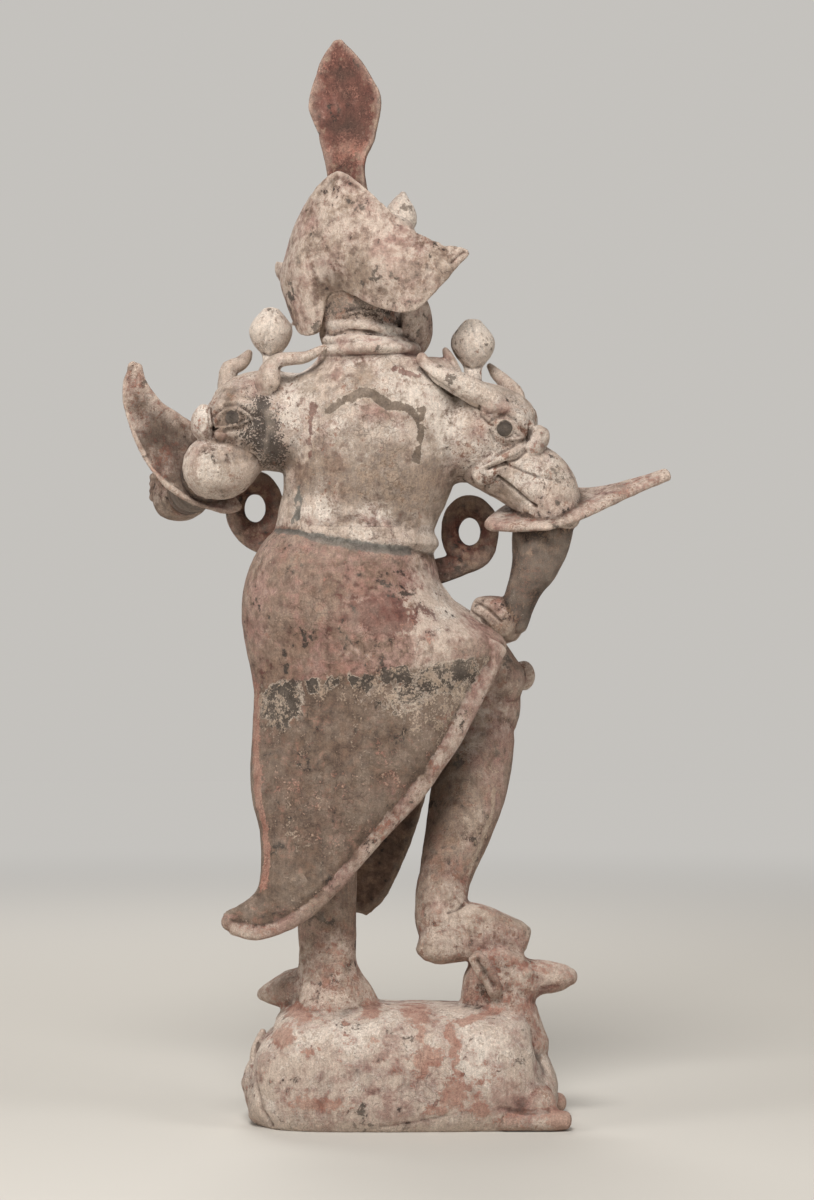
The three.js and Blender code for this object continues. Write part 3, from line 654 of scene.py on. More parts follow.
# Relief carved on the fused clay. A stroke is a path of [x, z] places, its half-width and its height,
# all in mm. One under 3 mm is a crisp cut or a thin roll of clay, and a wider one is a soft swell. It is
# carved on the back and the front alike unless the group faces another way.
relief = {
    "leftMask": {"on": ("mask", "snout", "torso", "horn"), "strokes": [
        ([[163, 647]], 14, -1.8),  # socket
        ([[181, 652], [172, 660], [158, 661], [145, 654]], 4.5, 2),  # brow
        ([[140, 655], [128, 652], [118, 649]], 5, 1.2),
        ([[163, 647]], 7.6, 3.2),  # eyeball
        ([[181, 641], [175, 650], [167, 655], [158, 654.5], [150, 650], [145, 645]], 1.9, 1.9),  # upper lid
        ([[181, 639], [170, 638.5], [158, 639.5], [149, 644]], 1.8, 1.5),  # lower lid
        ([[180, 649], [171, 658], [158, 659], [147, 652]], 1.6, -1.4),
        ([[180, 636], [168, 634.5], [156, 636], [146, 641]], 1.8, -1.1),
        ([[184, 655], [183, 645], [181, 636]], 2.2, -2.6),  # between forehead and snout
        ([[177, 622], [168, 619.5], [158, 618], [150, 613], [147, 606]], 2.6, 2.6),  # upper lip, ending in a curl
        ([[176, 617], [166, 614], [156, 611], [150, 604], [149, 597]], 2.2, -2.2),  # mouth
        ([[144, 600], [138, 612], [136, 626]], 5, 1.4),
    ]},
    "rightMask": {"on": ("mask", "snout", "torso", "horn", "sleeve"), "strokes": [
        ([[-86, 637]], 15, -2),
        ([[-66, 652], [-77, 655], [-90, 655], [-100, 648], [-105, 639]], 4.5, 2.2),
        ([[-62, 656], [-64, 648], [-70, 642], [-75, 639]], 1.8, -2),
        ([[-85, 637]], 8.6, 3.8),
        ([[-75, 637], [-80, 643], [-86, 645.5], [-92, 642], [-96, 635], [-102, 630]], 1.9, 2),
        ([[-76, 634], [-80, 629], [-86, 626.5], [-93, 627], [-100, 629]], 1.8, 1.7),
        ([[-70, 642], [-78, 647], [-87, 650], [-96, 645], [-102, 635]], 1.7, -1.5),
        ([[-72, 634], [-76, 626], [-85, 621], [-94, 622]], 1.8, -1.2),
        ([[-107, 641], [-109, 634], [-107, 627]], 2.2, -2.4),
        ([[-110, 641]], 4, 2),
        ([[-66, 604], [-78, 612], [-91, 619], [-101, 625], [-106, 628]], 1.8, -1.4),
        ([[-68, 602], [-79, 608]], 2.4, 2.2),  # upper lip, broader towards the nose
        ([[-79, 608], [-92, 613.5]], 3.4, 2.4),
        ([[-92, 613.5], [-104, 620]], 5, 2.6),
        ([[-88, 609], [-97, 613], [-104, 618]], 1.6, -1.4),
        ([[-70, 600], [-79, 602], [-87, 605]], 2.4, -4.2),  # mouth
        ([[-87, 605], [-97, 609], [-105, 616]], 1.8, -2),
        ([[-71, 594], [-73, 586], [-74, 578]], 3.4, 2.6),  # flap at the corner of the jaw
        ([[-66, 594], [-67, 586], [-68, 580]], 1.6, -1.3),
        ([[-52, 588], [-62, 583]], 3.5, 1.4),
    ]},
    "sleeves": {"on": ("sleeve",), "strokes": [
        ([[-88, 604], [-101, 598.5], [-115, 593], [-128, 590.5]], 1.5, -1.7),
        ([[-79, 594], [-93, 583], [-101, 576], [-108, 570], [-114, 566]], 1.7, -2.2),
        ([[-83, 597], [-94, 588], [-105, 580]], 4, 1),
    ]},
    "neckcloth": {"on": ("scarf", "neck", "torso"), "strokes": [
        ([[66, 740], [48, 744], [30, 743], [13, 738]], 2.2, 1.0),
        ([[74, 723], [58, 726], [40, 725], [18, 720], [2, 712]], 2.2, -1.6),
    ]},
    "underHorns": {"on": ("torso", "mask", "horn"), "strokes": [
        ([[-7, 691], [-16, 683], [-26, 676], [-38, 668]], 2.4, -2.2),
        ([[118, 691], [106, 692], [96, 694]], 2.4, -2.4),
    ]},
    "hands": {"on": ("hand", "arm"), "strokes": [
        ([[-53, 471], [-64, 464], [-75, 453]], 1.8, -2),
        ([[-58, 480], [-71, 472], [-83, 461]], 1.8, -2),
        ([[-50, 463], [-58, 456], [-67, 447]], 1.8, -2),
    ]},
    "legs": {"on": ("leg", "boot"), "strokes": [
        ([[-28, 372], [-47, 366], [-66, 358]], 5.5, -3),
        ([[-34, 193.5], [-41, 196], [-49, 201]], 1.6, -2.4),
        ([[-10, 200], [-24, 203], [-36, 201]], 4, -1.2),
        ([[94, 156], [82, 158], [69, 156]], 1.6, -0.7),
    ]},
    "knee": {"on": ("knob",), "strokes": [([[-99, 425], [-97, 410], [-98, 396]], 2, -3)]},
    "finial": {"on": ("leaf",), "strokes": [([[63, 962], [61, 940], [60, 920]], 13, -3.4)]},
    "guard": {"on": ("guard",), "strokes": [
        ([[97, 840], [85, 854], [74, 865], [67, 869], [56, 864], [41, 853], [24, 839], [6, 823], [-10, 812],
          [-26, 804], [-45, 800]], 2.5, 0.9),
        ([[-37, 785], [-42, 790], [-48, 796]], 1.8, -2.6),
    ]},
    "buds": {"on": ("bud",), "strokes": [
        ([[150, 719], [141, 709], [130, 705], [118, 710], [109, 721]], 1.8, -1.6),
        ([[-38, 706], [-47, 697], [-57, 693], [-67, 697], [-76, 707]], 1.8, -1.6),
        ([[127, 748], [130, 733], [136, 720]], 1.6, -1.2),
        ([[-55, 737], [-60, 723], [-68, 709]], 1.6, -1.2),
    ]},
    "ox": {"on": ("ox", "oxhead", "ear", "oxleg"), "strokes": [
        ([[140, 74], [143, 58], [142.5, 42], [136, 19], [126, 4]], 2.4, -2.4),  # between rump and tail
        ([[-95, 85], [-117, 66], [-121, 51]], 6, -2),
        ([[29, 5], [-6, 10], [-33, 16]], 1.8, -0.7),
        ([[-61, 153], [-68, 141], [-75, 129]], 3.6, -4.2),  # hollow of the ear
        ([[-120, 124], [-136, 125]], 2.5, -0.6),
        ([[-81, 22], [-99, 18], [-124, 19]], 2.6, -1.2),
        ([[101, 77], [78, 55], [81, 23]], 7, -1),
    ]},
    "cuffs": {"on": ("cuff",), "strokes": [
        ([[252, 703], [264, 692], [266, 674], [260, 643], [250, 622], [240, 602], [225, 586], [205, 573],
          [185, 564], [170, 562], [157, 567]], 2.4, 2.2),
    ]},
    "waist": {"on": ("torso", "skirt"), "strokes": [
        ([[124, 548], [90, 540], [50, 532], [10, 527], [-20, 523]], 5, -1.4),
    ]},
    "face": {"on": ("face",), "facing": faceWay, "middle": (29, -14, 0), "mirrored": True, "strokes": [
        ([[15, 778]], 10, -3),  # socket
        ([[15, 776]], 6.5, 3.4),
        ([[6, 775], [10, 780], [16, 781], [23, 777]], 1.7, 1.8),
        ([[6, 775], [13, 771], [22, 775]], 1.6, 1.3),
        ([[5, 786], [14, 790], [26, 786]], 2.6, 2.4),  # brow
        ([[7, 755]], 4.5, 2.6),  # nostril wing
        ([[0, 743], [5, 744], [11, 740]], 2.6, 2),  # lips
        ([[0, 736], [8, 737.5]], 2.9, 2.2),
        ([[0, 740], [12, 740]], 1.4, -2.2),
        ([[0, 724]], 10, 1.5),
        ([[24, 752]], 14, 2),
    ]},
}
crispHalf = 3.0  # mm


def distanceTo(path, across, up):
    points = np.column_stack([across, up])
    nearest = np.full(len(points), np.inf)
    path = np.array(path, float)
    for a, b in zip(path, path[1:] if len(path) > 1 else path):
        along = np.clip((points - a) @ (b - a) / max((b - a) @ (b - a), 1e-9), 0, 1)
        nearest = np.minimum(nearest, np.linalg.norm(points - a - along[:, None] * (b - a), axis=1))
    return nearest


def carve(obj, parts, strokes, on, facing=(0, 1, 0), middle=(0, 0, 0), mirrored=False):
    here, normal = places(obj.data), normalsOf(obj.data)
    across = (here - middle) @ np.cross(facing, (0, 0, 1))
    towards = normal @ np.array(facing)
    if mirrored:  # alike on both halves, and on this side alone
        across = abs(across)
    else:
        towards = abs(towards)
    seen = np.clip((towards - 0.1) / 0.4, 0, 1) * within(parts, on)
    rise = np.zeros(len(here))
    for path, half, height in strokes:
        d = distanceTo(path, across, here[:, 2]) / half
        rounded = np.sqrt(np.clip(1 - d * d, 0, 1)) if len(path) == 1 and height > 0 else np.exp(-d * d)
        rise += height * (np.clip(1 - d * d, 0, 1) ** 0.75 if half < crispHalf else rounded)
    moveTo(obj.data, here + normal * (rise * seen)[:, None])


for group in relief.values():
    carve(warrior, parts, **group)
here, normal = places(warrior.data), normalsOf(warrior.data)
unevenness = sum(
    height * np.array([noise.noise(Vector(place / length)) for place in here])
    for length, height in clay["unevenness"]
)
moveTo(warrior.data, here + normal * unevenness[:, None])
print("relief carved")

standing = bmesh.new()
standing.from_mesh(warrior.data)
everything = standing.verts[:] + standing.edges[:] + standing.faces[:]
ground = {"plane_co": (0, 0, 0), "plane_no": (0, 0, 1), "clear_inner": True}
bmesh.ops.bisect_plane(standing, geom=everything, dist=1e-5, **ground)
bmesh.ops.holes_fill(standing, edges=[e for e in standing.edges if e.is_boundary], sides=0)
bmesh.ops.triangulate(standing, faces=[f for f in standing.faces if len(f.verts) > 4])
standing.to_mesh(warrior.data)
standing.free()

here = places(warrior.data)
plain = np.ones(len(here), bool)
for x, y, z, radius in clay["fine"]:
    plain &= np.linalg.norm(here - (x, y, z), axis=1) > radius
thinned = warrior.vertex_groups.new(name="thinned")
thinned.add(np.flatnonzero(plain).tolist(), 1.0, "REPLACE")
decimate = warrior.modifiers.new("thin", "DECIMATE")
decimate.ratio = clay["triangles"] / (2 * len(here))
decimate.vertex_group = "thinned"
bake(warrior)
warrior.vertex_groups.clear()
for polygon in warrior.data.polygons:
    polygon.use_smooth = True
print("thinned", len(warrior.data.polygons))

# Where each coat lies, from 0, none, to 1, whole. Above 1 it covers its flakes too.
# On the forearms (part arm) and the front apron the coats are dark: much soil, olive, red and soot, and little slip
# and chalk. This is partly painted shade, the shade under the cuffs and between the legs.
coats = {
    "slip": {
        "everywhere": 0.7, "ox": 1.3, "torso": 0.95, "guard": 1.05, "bud": 1.0, "mask": 0.85, "horn": 0.95,
        "sleeve": 0.9, "cuff": 0.85, "helmet": 0.85, "face": 1.2, "hand": 0.7, "boot": 0.8, "leg": 0.55,
        "skirt": 0.55, "hem": 0.85, "leaf": -0.25, "sash": 0.1, "apron": -0.2, "arm": -0.15, "scarf": 1.1,
        "snout": 1.0,
    },
    "chalk": {
        "everywhere": -0.1, "torso": 0.4, "ox": 0.35, "oxhead": -0.1, "guard": -0.05, "bud": 0.9, "mask": 0.45,
        "horn": 0.35, "sleeve": 0.4, "cuff": 0.15, "skirt": -0.4, "leg": -0.2, "hem": -0.4, "face": 0.3,
        "leaf": -0.9, "sash": -0.8, "apron": -1.2, "snout": 0.6, "neck": -0.1, "arm": -0.9, "scarf": 0.55,
    },
    "rose": {
        "everywhere": 0.3, "ox": 0.22, "oxhead": 0.35, "torso": 0.12, "guard": 0.36, "bud": 0.0, "mask": 0.1,
        "snout": 0.1, "horn": 0.2, "sleeve": 0.2, "cuff": 0.35, "hand": 0.4, "boot": 0.25, "leg": 0.5,
        "skirt": 0.95, "hem": 0.6, "leaf": 1.4, "sash": 0.6, "apron": 0.3, "arm": 0.4, "scarf": 0.35,
    },
    "soil": {
        "everywhere": 0.25, "ox": -0.3, "oxleg": 0.0, "ear": 0.1, "torso": 0.3, "guard": 0.36, "bud": 0.05,
        "mask": 0.2, "horn": 0.2, "leg": 0.6, "boot": 0.35, "skirt": 0.5, "leaf": 0.85, "sash": 0.9, "apron": 1.5,
        "arm": 2.4, "hand": 0.6, "neck": 0.4, "cuff": 0.25, "oxhead": 0.1, "knob": 0.3, "hem": 0.3, "scarf": 0.1, "face": -0.1,
    },
    "red": {"everywhere": -0.25, "leaf": 0.55, "sash": 0.6, "skirt": 0.0, "arm": 0.75, "leg": 0.0, "ox": -0.5},
    "olive": {"everywhere": -0.5, "apron": 0.4, "sash": 0.3, "arm": 0.75},
    "dark": {"everywhere": -0.6, "sash": 0.1, "ox": -1.1, "oxhead": -1.0, "guard": -0.85, "bud": -0.9, "hem": -0.9, "face": -1.3},
    "salmon": {
        "everywhere": -0.2, "hem": 0.12, "ox": 0.08, "oxhead": 0.3, "oxleg": 0.45, "ear": 0.3, "boot": 0.25,
        "cuff": 0.25, "leg": 0.1, "skirt": -0.05, "snout": 0.1, "leaf": 0.2,
    },
    "strap": {"everywhere": -0.4},
    "grey": {"everywhere": -0.4},
    "soot": {
        "everywhere": -0.4, "neck": 0.05, "mask": -0.15, "guard": -0.3, "bud": -0.35, "torso": -0.3, "leg": -0.15,
        "ox": -0.6, "face": -0.9, "arm": 0.5, "skirt": -0.45, "horn": -0.45, "boot": -0.5, "leaf": -0.6,
    },
    "lime": {"everywhere": -0.5, "skirt": -0.4, "leg": -0.2, "ox": -0.8, "arm": -0.25, "leaf": -0.9, "mask": -0.3},
}
# patches on the back: coat, middle [x, z], half-sizes, and how much is added
patches = [
    # between the shoulders
    ("chalk", (-10, 672), (34, 20), 0.9), ("chalk", (98, 668), (16, 22), 0.6), ("chalk", (-20, 640), (14, 28), 0.6),
    ("chalk", (28, 562), (9, 9), 1.0), ("chalk", (74, 560), (22, 10), 0.5), ("chalk", (60, 632), (22, 16), 0.3),
    ("rose", (32, 651), (17, 8), 1.1), ("rose", (68, 684), (6, 9), 1.1), ("rose", (66, 606), (8, 10), 0.8),
    ("rose", (100, 590), (10, 18), 0.4), ("rose", (60, 553), (40, 6), 0.45), ("rose", (-10, 706), (26, 9), 0.5),
    ("soil", (44, 588), (44, 15), 0.75), ("soil", (0, 582), (24, 20), 0.9), ("soil", (-20, 590), (15, 15), 1.0),
    ("soil", (96, 590), (9, 14), 1.0), ("soil", (44, 690), (9, 16), 0.7), ("soil", (10, 562), (9, 12), 0.9),
    ("soil", (44, 612), (44, 24), 0.55), ("soil", (76, 654), (6, 10), 0.5), ("soil", (92, 672), (8, 8), 0.5),
    ("soot", (125, 624), (11, 22), 0.75), ("soot", (134, 634), (17, 34), 0.6), ("soot", (114, 606), (14, 20), 0.35),
    ("grey", (127, 628), (15, 30), 0.75), ("dark", (96, 612), (3, 5), 1.0), ("dark", (46, 649), (2.6, 2.6), 1.4),
    ("dark", (40, 631), (4.5, 3.5), 1.2), ("dark", (34, 629), (3, 3), 1.2), ("dark", (51, 618), (4.5, 3.5), 0.9),
    ("dark", (47, 592), (6, 6), 0.8), ("dark", (30, 574), (6.5, 3.5), 1.1), ("dark", (27, 628), (2, 2), 1.0),
    ("dark", (95, 587), (4, 7), 0.9), ("soot", (92, 668), (6, 6), 0.5), ("soot", (40, 575), (50, 12), 0.25),
    # masks
    ("soot", (135, 659), (6, 9), 0.75), ("soot", (150, 636), (18, 20), 0.45), ("soil", (148, 636), (28, 26), 0.7),
    # The soot round both eye sockets is painted shade, and the chalk dot at (-94, 632) is a painted highlight on the
    # right eyeball.
    ("soot", (163, 647), (17, 11), 0.3), ("soot", (-86, 636), (18, 14), 0.2), ("chalk", (-94, 632), (2.6, 2.2), 2.5), ("grey", (178, 656), (9, 8), 0.4),
    # The chalk at (192, 648) and (190, 642) paints the highlight on the left snout.
    ("rose", (141, 676), (8, 8), 0.7), ("rose", (174, 631), (7, 7), 0.9), ("chalk", (192, 648), (4, 8), 0.6), ("chalk", (190, 642), (6, 12), 0.9),
    ("chalk", (160, 630), (14, 5), 0.5), ("chalk", (184, 600), (18, 16), 0.6), ("rose", (200, 604), (9, 14), 0.5),
    ("rose", (-82, 653), (12, 5), 0.4), ("rose", (-58, 628), (10, 10), 0.3), ("soot", (-70, 622), (16, 16), 0.3),
    ("grey", (-66, 614), (14, 12), 0.2), ("chalk", (-110, 590), (20, 14), 0.6), ("chalk", (-40, 640), (18, 20), 0.5),
    # head
    ("soot", (40, 748), (46, 12), 0.5), ("strap", (66, 776), (12, 16), 0.5), ("strap", (48, 786), (9, 12), 0.4),
    ("soil", (55, 779), (20, 18), 0.6), ("soil", (74, 762), (14, 10), 0.7), ("rose", (92, 820), (12, 26), 0.35), ("rose", (10, 806), (30, 10), 0.35),
    ("chalk", (-8, 772), (26, 24), 0.4), ("red", (61, 938), (17, 34), 1.2), ("soot", (61, 936), (9, 22), 0.5),
    ("grey", (61, 936), (7, 18), 0.6), ("salmon", (60, 896), (16, 12), 0.6),
    # hips
    # The slip at (140, 500) paints rim light down the hip's left edge.
    ("red", (32, 470), (36, 19), 1.1), ("red", (8, 456), (16, 10), 0.4), ("slip", (140, 500), (10, 40), 0.7),
    ("slip", (-26, 474), (30, 44), 1.1), ("chalk", (-30, 476), (26, 36), 1.0), ("rose", (-26, 474), (28, 40), -1.2),
    ("soil", (-26, 474), (28, 40), -1.0), ("salmon", (-17, 446), (7, 5), 0.9), ("slip", (30, 430), (26, 7), 0.6), ("chalk", (36, 432), (20, 6), 0.4), ("slip", (44, 392), (30, 14), 0.7),
    ("dark", (118, 387), (23, 25), 1.5), ("dark", (-42, 411), (34, 24), 1.25), ("dark", (8, 386), (28, 24), 0.9),
    ("lime", (-16, 396), (46, 34), 0.48), ("lime", (116, 380), (24, 26), 0.5),
    ("salmon", (62, 300), (30, 44), 0.3), ("salmon", (104, 330), (16, 60), 0.2), ("salmon", (10, 330), (20, 30), 0.2),
    ("slip", (66, 512), (10, 10), 0.4), ("dark", (68, 505), (3.5, 3.5), 0.8), ("soil", (120, 470), (16, 60), 0.35),
    ("soil", (85, 478), (22, 40), 0.2), ("chalk", (110, 524), (26, 8), 0.5), ("soil", (124, 420), (14, 24), 0.3),
    # legs and boots
    # The lime and slip at the top of the raised leg, and the soil taken off there, paint light on the thigh under the
    # hem, against the hem's shadow.
    ("lime", (-64, 366), (26, 28), 0.6), ("soil", (-60, 366), (28, 34), -0.7), ("slip", (-66, 378), (24, 18), 0.8), ("red", (-90, 392), (10, 10), 0.6),
    # The soot and soil at (-40, 300) paint the skirt's shadow on the calf's left part, and the lime and slip at (-60,
    # 270) paint light on its right part.
    ("lime", (-60, 270), (12, 16), 0.8), ("slip", (-60, 270), (12, 18), 0.5), ("soot", (-40, 300), (24, 60), 0.35), ("soil", (-42, 296), (26, 60), 0.4),
    ("rose", (-80, 320), (10, 46), 0.5), ("slip", (-36, 180), (16, 14), 0.7), ("rose", (-80, 168), (24, 14), 0.5),
    ("chalk", (-34, 182), (14, 10), 0.4), ("soil", (84, 200), (30, 30), 0.4),
    # ox
    ("salmon", (103, 104), (13, 5), 1.3), ("salmon", (37, 106), (9, 5), 1.3), ("salmon", (-4, 105), (11, 8), 1.5),
    ("salmon", (-16, 67), (12, 7), 1.4), ("salmon", (95, 73), (6, 3.5), 1.2), ("salmon", (33, 85), (6, 4), 0.8),
    ("salmon", (117, 83), (10, 8), 1.1), ("salmon", (-18, 20), (10, 5), 1.1), ("salmon", (-41, 36), (16, 13), 0.9),
    ("salmon", (-61, 22), (6, 8), 1.1), ("salmon", (80, 25), (28, 5), 0.9), ("salmon", (-142, 12), (12, 9), 0.8), ("rose", (-100, 24), (30, 14), 0.6),
    # Chalk high on the ox's flanks and soil low down make it paler above and darker towards the bottom.
    ("chalk", (60, 88), (70, 14), 0.5), ("chalk", (-60, 84), (34, 20), 0.5),
    # The chalk at (20, 722), on the scarf under the guard, paints light where the guard shades it.
    ("chalk", (-60, 60), (20, 20), 0.4), ("soil", (60, 45), (70, 26), 0.2), ("soil", (-70, 50), (30, 20), 0.2), ("chalk", (20, 722), (44, 12), 0.6),
    ("chalk", (-127, 525), (3, 14), 1.5),
    # The olive and dark patches at (-66, 140) paint shade in the hollow of the ox's ear.
    ("rose", (40, 50), (90, 40), 0.15), ("olive", (-66, 140), (7, 14), 1.2), ("dark", (-67, 139), (4, 11), 0.9),
]
# painted lines on the back: coat, half-width in mm, path of [x, z]
paintedLines = [
    ("strap", 3.2, [[75, 652], [64, 660], [54, 665]]),
    ("strap", 5.0, [[54, 665], [44, 669], [36, 668], [28, 662], [18, 656]]),
    ("strap", 3.8, [[18, 656], [8, 657]]),
    ("strap", 3.4, [[8, 657], [-2, 651], [-8, 642], [-9, 632], [-6, 620], [-5, 606]]),
    ("strap", 2.4, [[-12, 655], [-9, 642]]),
    ("red", 2.8, [[89, 660], [91, 648]]),
    ("red", 1.4, [[91, 648], [92, 630], [92, 611]]),
    ("red", 2.2, [[16, 692], [4, 687], [-8, 685]]),
    ("grey", 2.6, [[123, 544], [103, 542], [90, 538]]),
    ("grey", 4.4, [[90, 538], [72, 534], [53, 531], [35, 528], [18, 526], [4, 525]]),
    ("grey", 1.1, [[103, 581], [107, 562], [109, 550]]),
    ("grey", 1.1, [[99, 579], [102, 562], [104, 550]]),
    ("salmon", 3.0, [[-6, 104], [-9, 92], [-11, 74], [-10, 54]]),
    ("salmon", 3.2, [[-36, 94], [-39, 72], [-41, 54]]),
    ("salmon", 2.8, [[-45, 97], [-62, 102], [-79, 106]]),
    ("red", 1.5, [[-20, 25], [-31, 35], [-41, 43]]),
    ("salmon", 2.2, [[92, 73], [82, 76]]),
    ("salmon", 3.0, [[142, 402], [142, 352], [140, 308], [132, 271], [130, 243], [134, 221]]),
    # the lime line down the raised calf is a painted highlight on its right part
    ("lime", 1.6, [[-77, 306], [-75, 283], [-66, 258], [-53, 226]]),
]
# Dark eyeballs: partly their own stain and partly painted shade of the sunken eyes.
eyes = [((163, 647), 6.6), ((-85, 637), 8.0)]  # middle and half-width
waistline = [[140, 548], [120, 546], [103, 543], [90, 538], [72, 534], [35, 528], [4, 525], [-16, 521], [-40, 514]]
skirtBands = {
    "leftTop": (152, 404), "rightTop": (-62, 432), "fade": 50,
    "leaves": [(89, 404), (73, 405), (52, 408), (39, 406), (25, 411), (8, 415)], "leafHalf": (5.4, 6.2),
}

parts = partsOf(warrior.data)
here, normal = places(warrior.data), normalsOf(warrior.data)
hollowness = ((smoothed(warrior, 12) - here) * normal).sum(1)
x, z = here[:, 0], here[:, 2]


def amountOn(coat, part):
    return coats[coat].get(part, coats[coat]["everywhere"])


layers = {}
waistZ = np.interp(x, [p[0] for p in waistline][::-1], [p[1] for p in waistline][::-1])
onBody = within(parts, ("skirt", "torso"))
onTorso = onBody * np.clip((z - waistZ) / 3, 0, 1)
onHips = onBody - onTorso
onLegs = within(parts, ("leg", "boot"))
raisedTop, standingTop = legs["bootTops"]
bootShare = np.clip((np.where(x < 20, raisedTop, standingTop) + 25 - z) / 50, 0, 1)
for coat in coats:
    base = np.array([amountOn(coat, part) for part in partNames])[parts]
    painted = amountOn(coat, "torso") * onTorso + amountOn(coat, "skirt") * onHips
    onBoot = amountOn(coat, "boot") * bootShare + amountOn(coat, "leg") * (1 - bootShare)
    layers[coat] = base * (1 - onBody - onLegs) + painted + onBoot * onLegs
(leftX, leftZ), (rightX, rightZ) = skirtBands["leftTop"], skirtBands["rightTop"]
bandTop = np.interp(x, [rightX, leftX], [rightZ, leftZ])
lower = np.clip((bandTop - z) / 5, 0, 1) * onHips
inBand = lower * np.clip(1 - (bandTop - z) / skirtBands["fade"], 0, 1)
layers["olive"] += 1.35 * lower
layers["rose"] -= 0.4 * lower
layers["lime"] += 0.3 * lower + 0.25 * inBand
layers["dark"] += 0.2 * lower + 0.3 * inBand
for leafX, leafZ in skirtBands["leaves"]:
    fromLeaf = ((x - leafX) / skirtBands["leafHalf"][0]) ** 2 + ((z - leafZ) / skirtBands["leafHalf"][1]) ** 2
    layers["dark"] += 2.0 * onHips * np.exp(-fromLeaf ** 2)
facingBack = np.clip(normal[:, 1] * 3 + 0.4, 0, 1)
for coat, (px, pz), (a, b), amount in patches:
    layers[coat] += amount * facingBack * np.exp(-((x - px) / a) ** 2 - ((z - pz) / b) ** 2)
for coat, half, path in paintedLines:
    line = facingBack * (1.5 - distanceTo(path, x, z) / half)
    layers[coat] = np.maximum(layers[coat], line)
# the dark eyeball discs: partly stain, partly painted shade
for place, half in eyes:
    disc = 2.6 - 2.6 * (distanceTo([place], x, z) / half) ** 4
    layers["dark"] = np.maximum(layers["dark"], within(parts, ("mask", "torso", "snout")) * disc)

# Light and shade painted into the colour: sheltered places and hollows are darkened, partly for dirt that gathers
# there and partly as painted shade. Ridges are lightened, a painted highlight. Sheltered places also get more soil,
# which is partly painted shade as well.
layers["shadeAndDirtInShelter"] = np.clip(((smoothed(warrior, 110) - here) * normal).sum(1) / 4, 0, 1)
layers["hollow"] = np.clip(hollowness / 0.7, 0, 1)
layers["ridge"] = np.clip(-hollowness / 0.9, 0, 1)
layers["crackled"] = within(parts, ("ox", "guard", "torso", "skirt", "bud"))
layers["soil"] += 0.5 * layers["shadeAndDirtInShelter"]
for name, amount in layers.items():
    layer = warrior.data.attributes.new(name, "FLOAT", "POINT")
    layer.data.foreach_set("value", amount.astype(np.float32))
print("coats laid")

# Low-fired earthenware under white slip and unfired mineral pigments, matt all over. What the eye
# sees is soft stain broken by fine speckle, and torn flakes with sharp edges where paint was thick.
earthenware = bpy.data.materials.new("unglazed earthenware with worn slip")
earthenware.use_nodes = True
tree = earthenware.node_tree
shader = tree.nodes["Principled BSDF"]
finish = {
    "clay": ("9A7362", "705347"),
    "noises": {  # repeats to a metre, detail, roughness, shift
        "torn": (140, 7, 0.62, 0.13),  # 7 mm
        "grain": (520, 5, 0.65, 0.31),  # 2 mm
        "pits": (1300, 2, 0.6, 0.47),  # 0.8 mm, coarser than the real grain so that it shows
    },
    "broad": 34,  # patches of about 30 mm
    # name: two colours, softness of the edge, how far it covers, thickness, how wide the slip shows round
    # its flakes, and the pull of the broad, torn and grain noises
    "coats": {
        "slip": ("CCBBAD", "B09D90", 0.2, 0.95, 0.6, 0.0, (2.4, 2.0, 1.4)),
        "chalk": ("E6DCD1", "D2C5B9", 0.08, 0.8, 0.7, 0.0, (2.4, 3.4, 1.2)),
        "rose": ("A37B71", "7C564E", 0.42, 0.85, 0.2, 0.0, (2.8, 2.0, 1.2)),
        "soil": ("8C7560", "5C4A3D", 0.36, 0.75, 0.1, 0.0, (2.8, 1.9, 1.8)),
        "red": ("744239", "552F2A", 0.16, 0.8, 0.2, 0.0, (2.0, 2.6, 1.2)),
        "olive": ("766252", "53443A", 0.24, 0.88, 0.3, 0.0, (1.8, 1.8, 1.8)),
        "dark": ("3F352D", "2A2320", 0.08, 0.92, 0.4, 0.22, (3.4, 2.4, 0.6)),
        "salmon": ("B28877", "956556", 0.2, 0.85, 0.2, 0.0, (2.0, 2.0, 1.4)),
        "strap": ("6B5A4B", "4C3E34", 0.1, 0.92, -0.6, 0.12, (0.6, 1.8, 1.0)),
        "grey": ("5F635F", "464844", 0.26, 0.8, 0.0, 0.0, (0.6, 1.2, 1.0)),
        "soot": ("241F1D", "362D28", 0.08, 0.88, -0.3, 0.0, (1.6, 1.6, 4.2)),
        "lime": ("C9B7A6", "A8937F", 0.16, 0.7, 0.2, 0.0, (2.6, 2.8, 2.0)),
    },
    "rim": "C9BAAA",
    # painted shade and highlight: hollows and sheltered places darker, partly dirt and partly painted shade, and
    # ridges lighter as a painted highlight
    "paintedShadeDirtAndHighlight": (("hollow", "4A3A31", 0.6), ("shadeAndDirtInShelter", "3E3029", 0.5), ("ridge", "CDBBAA", 0.35)),
    "tones": (("grain", 0.8, 1.15), ("pits", 0.82, 1.14), ("streaks", 0.9, 1.08), ("torn", 0.92, 1.06)),
    "streaks": {"squash": (1, 1, 0.14), "scale": 420},  # brush marks, 2 mm wide and 16 mm long
    "cracks": {"scale": 78, "half": 0.03, "depth": 0.5},  # 13 mm apart and under a millimetre wide
    "roughness": 0.93,
}


def noiseOf(vector, scale, detail, rough, distortion):
    settings = {"Scale": scale, "Detail": detail, "Roughness": rough, "Distortion": distortion}
    return addNode(tree, "ShaderNodeTexNoise", settings, {"Vector": vector}).outputs[0]


def mixed(factor, a, b, blend="MIX"):  # colours or sockets a and b, and the share of b
    settings = {"data_type": "RGBA", "blend_type": blend}
    links = {}
    for socket, value in ((0, factor), (6, a), (7, b)):
        (settings if isinstance(value, (float, list)) else links)[socket] = value
    return addNode(tree, "ShaderNodeMix", settings, links).outputs[2]


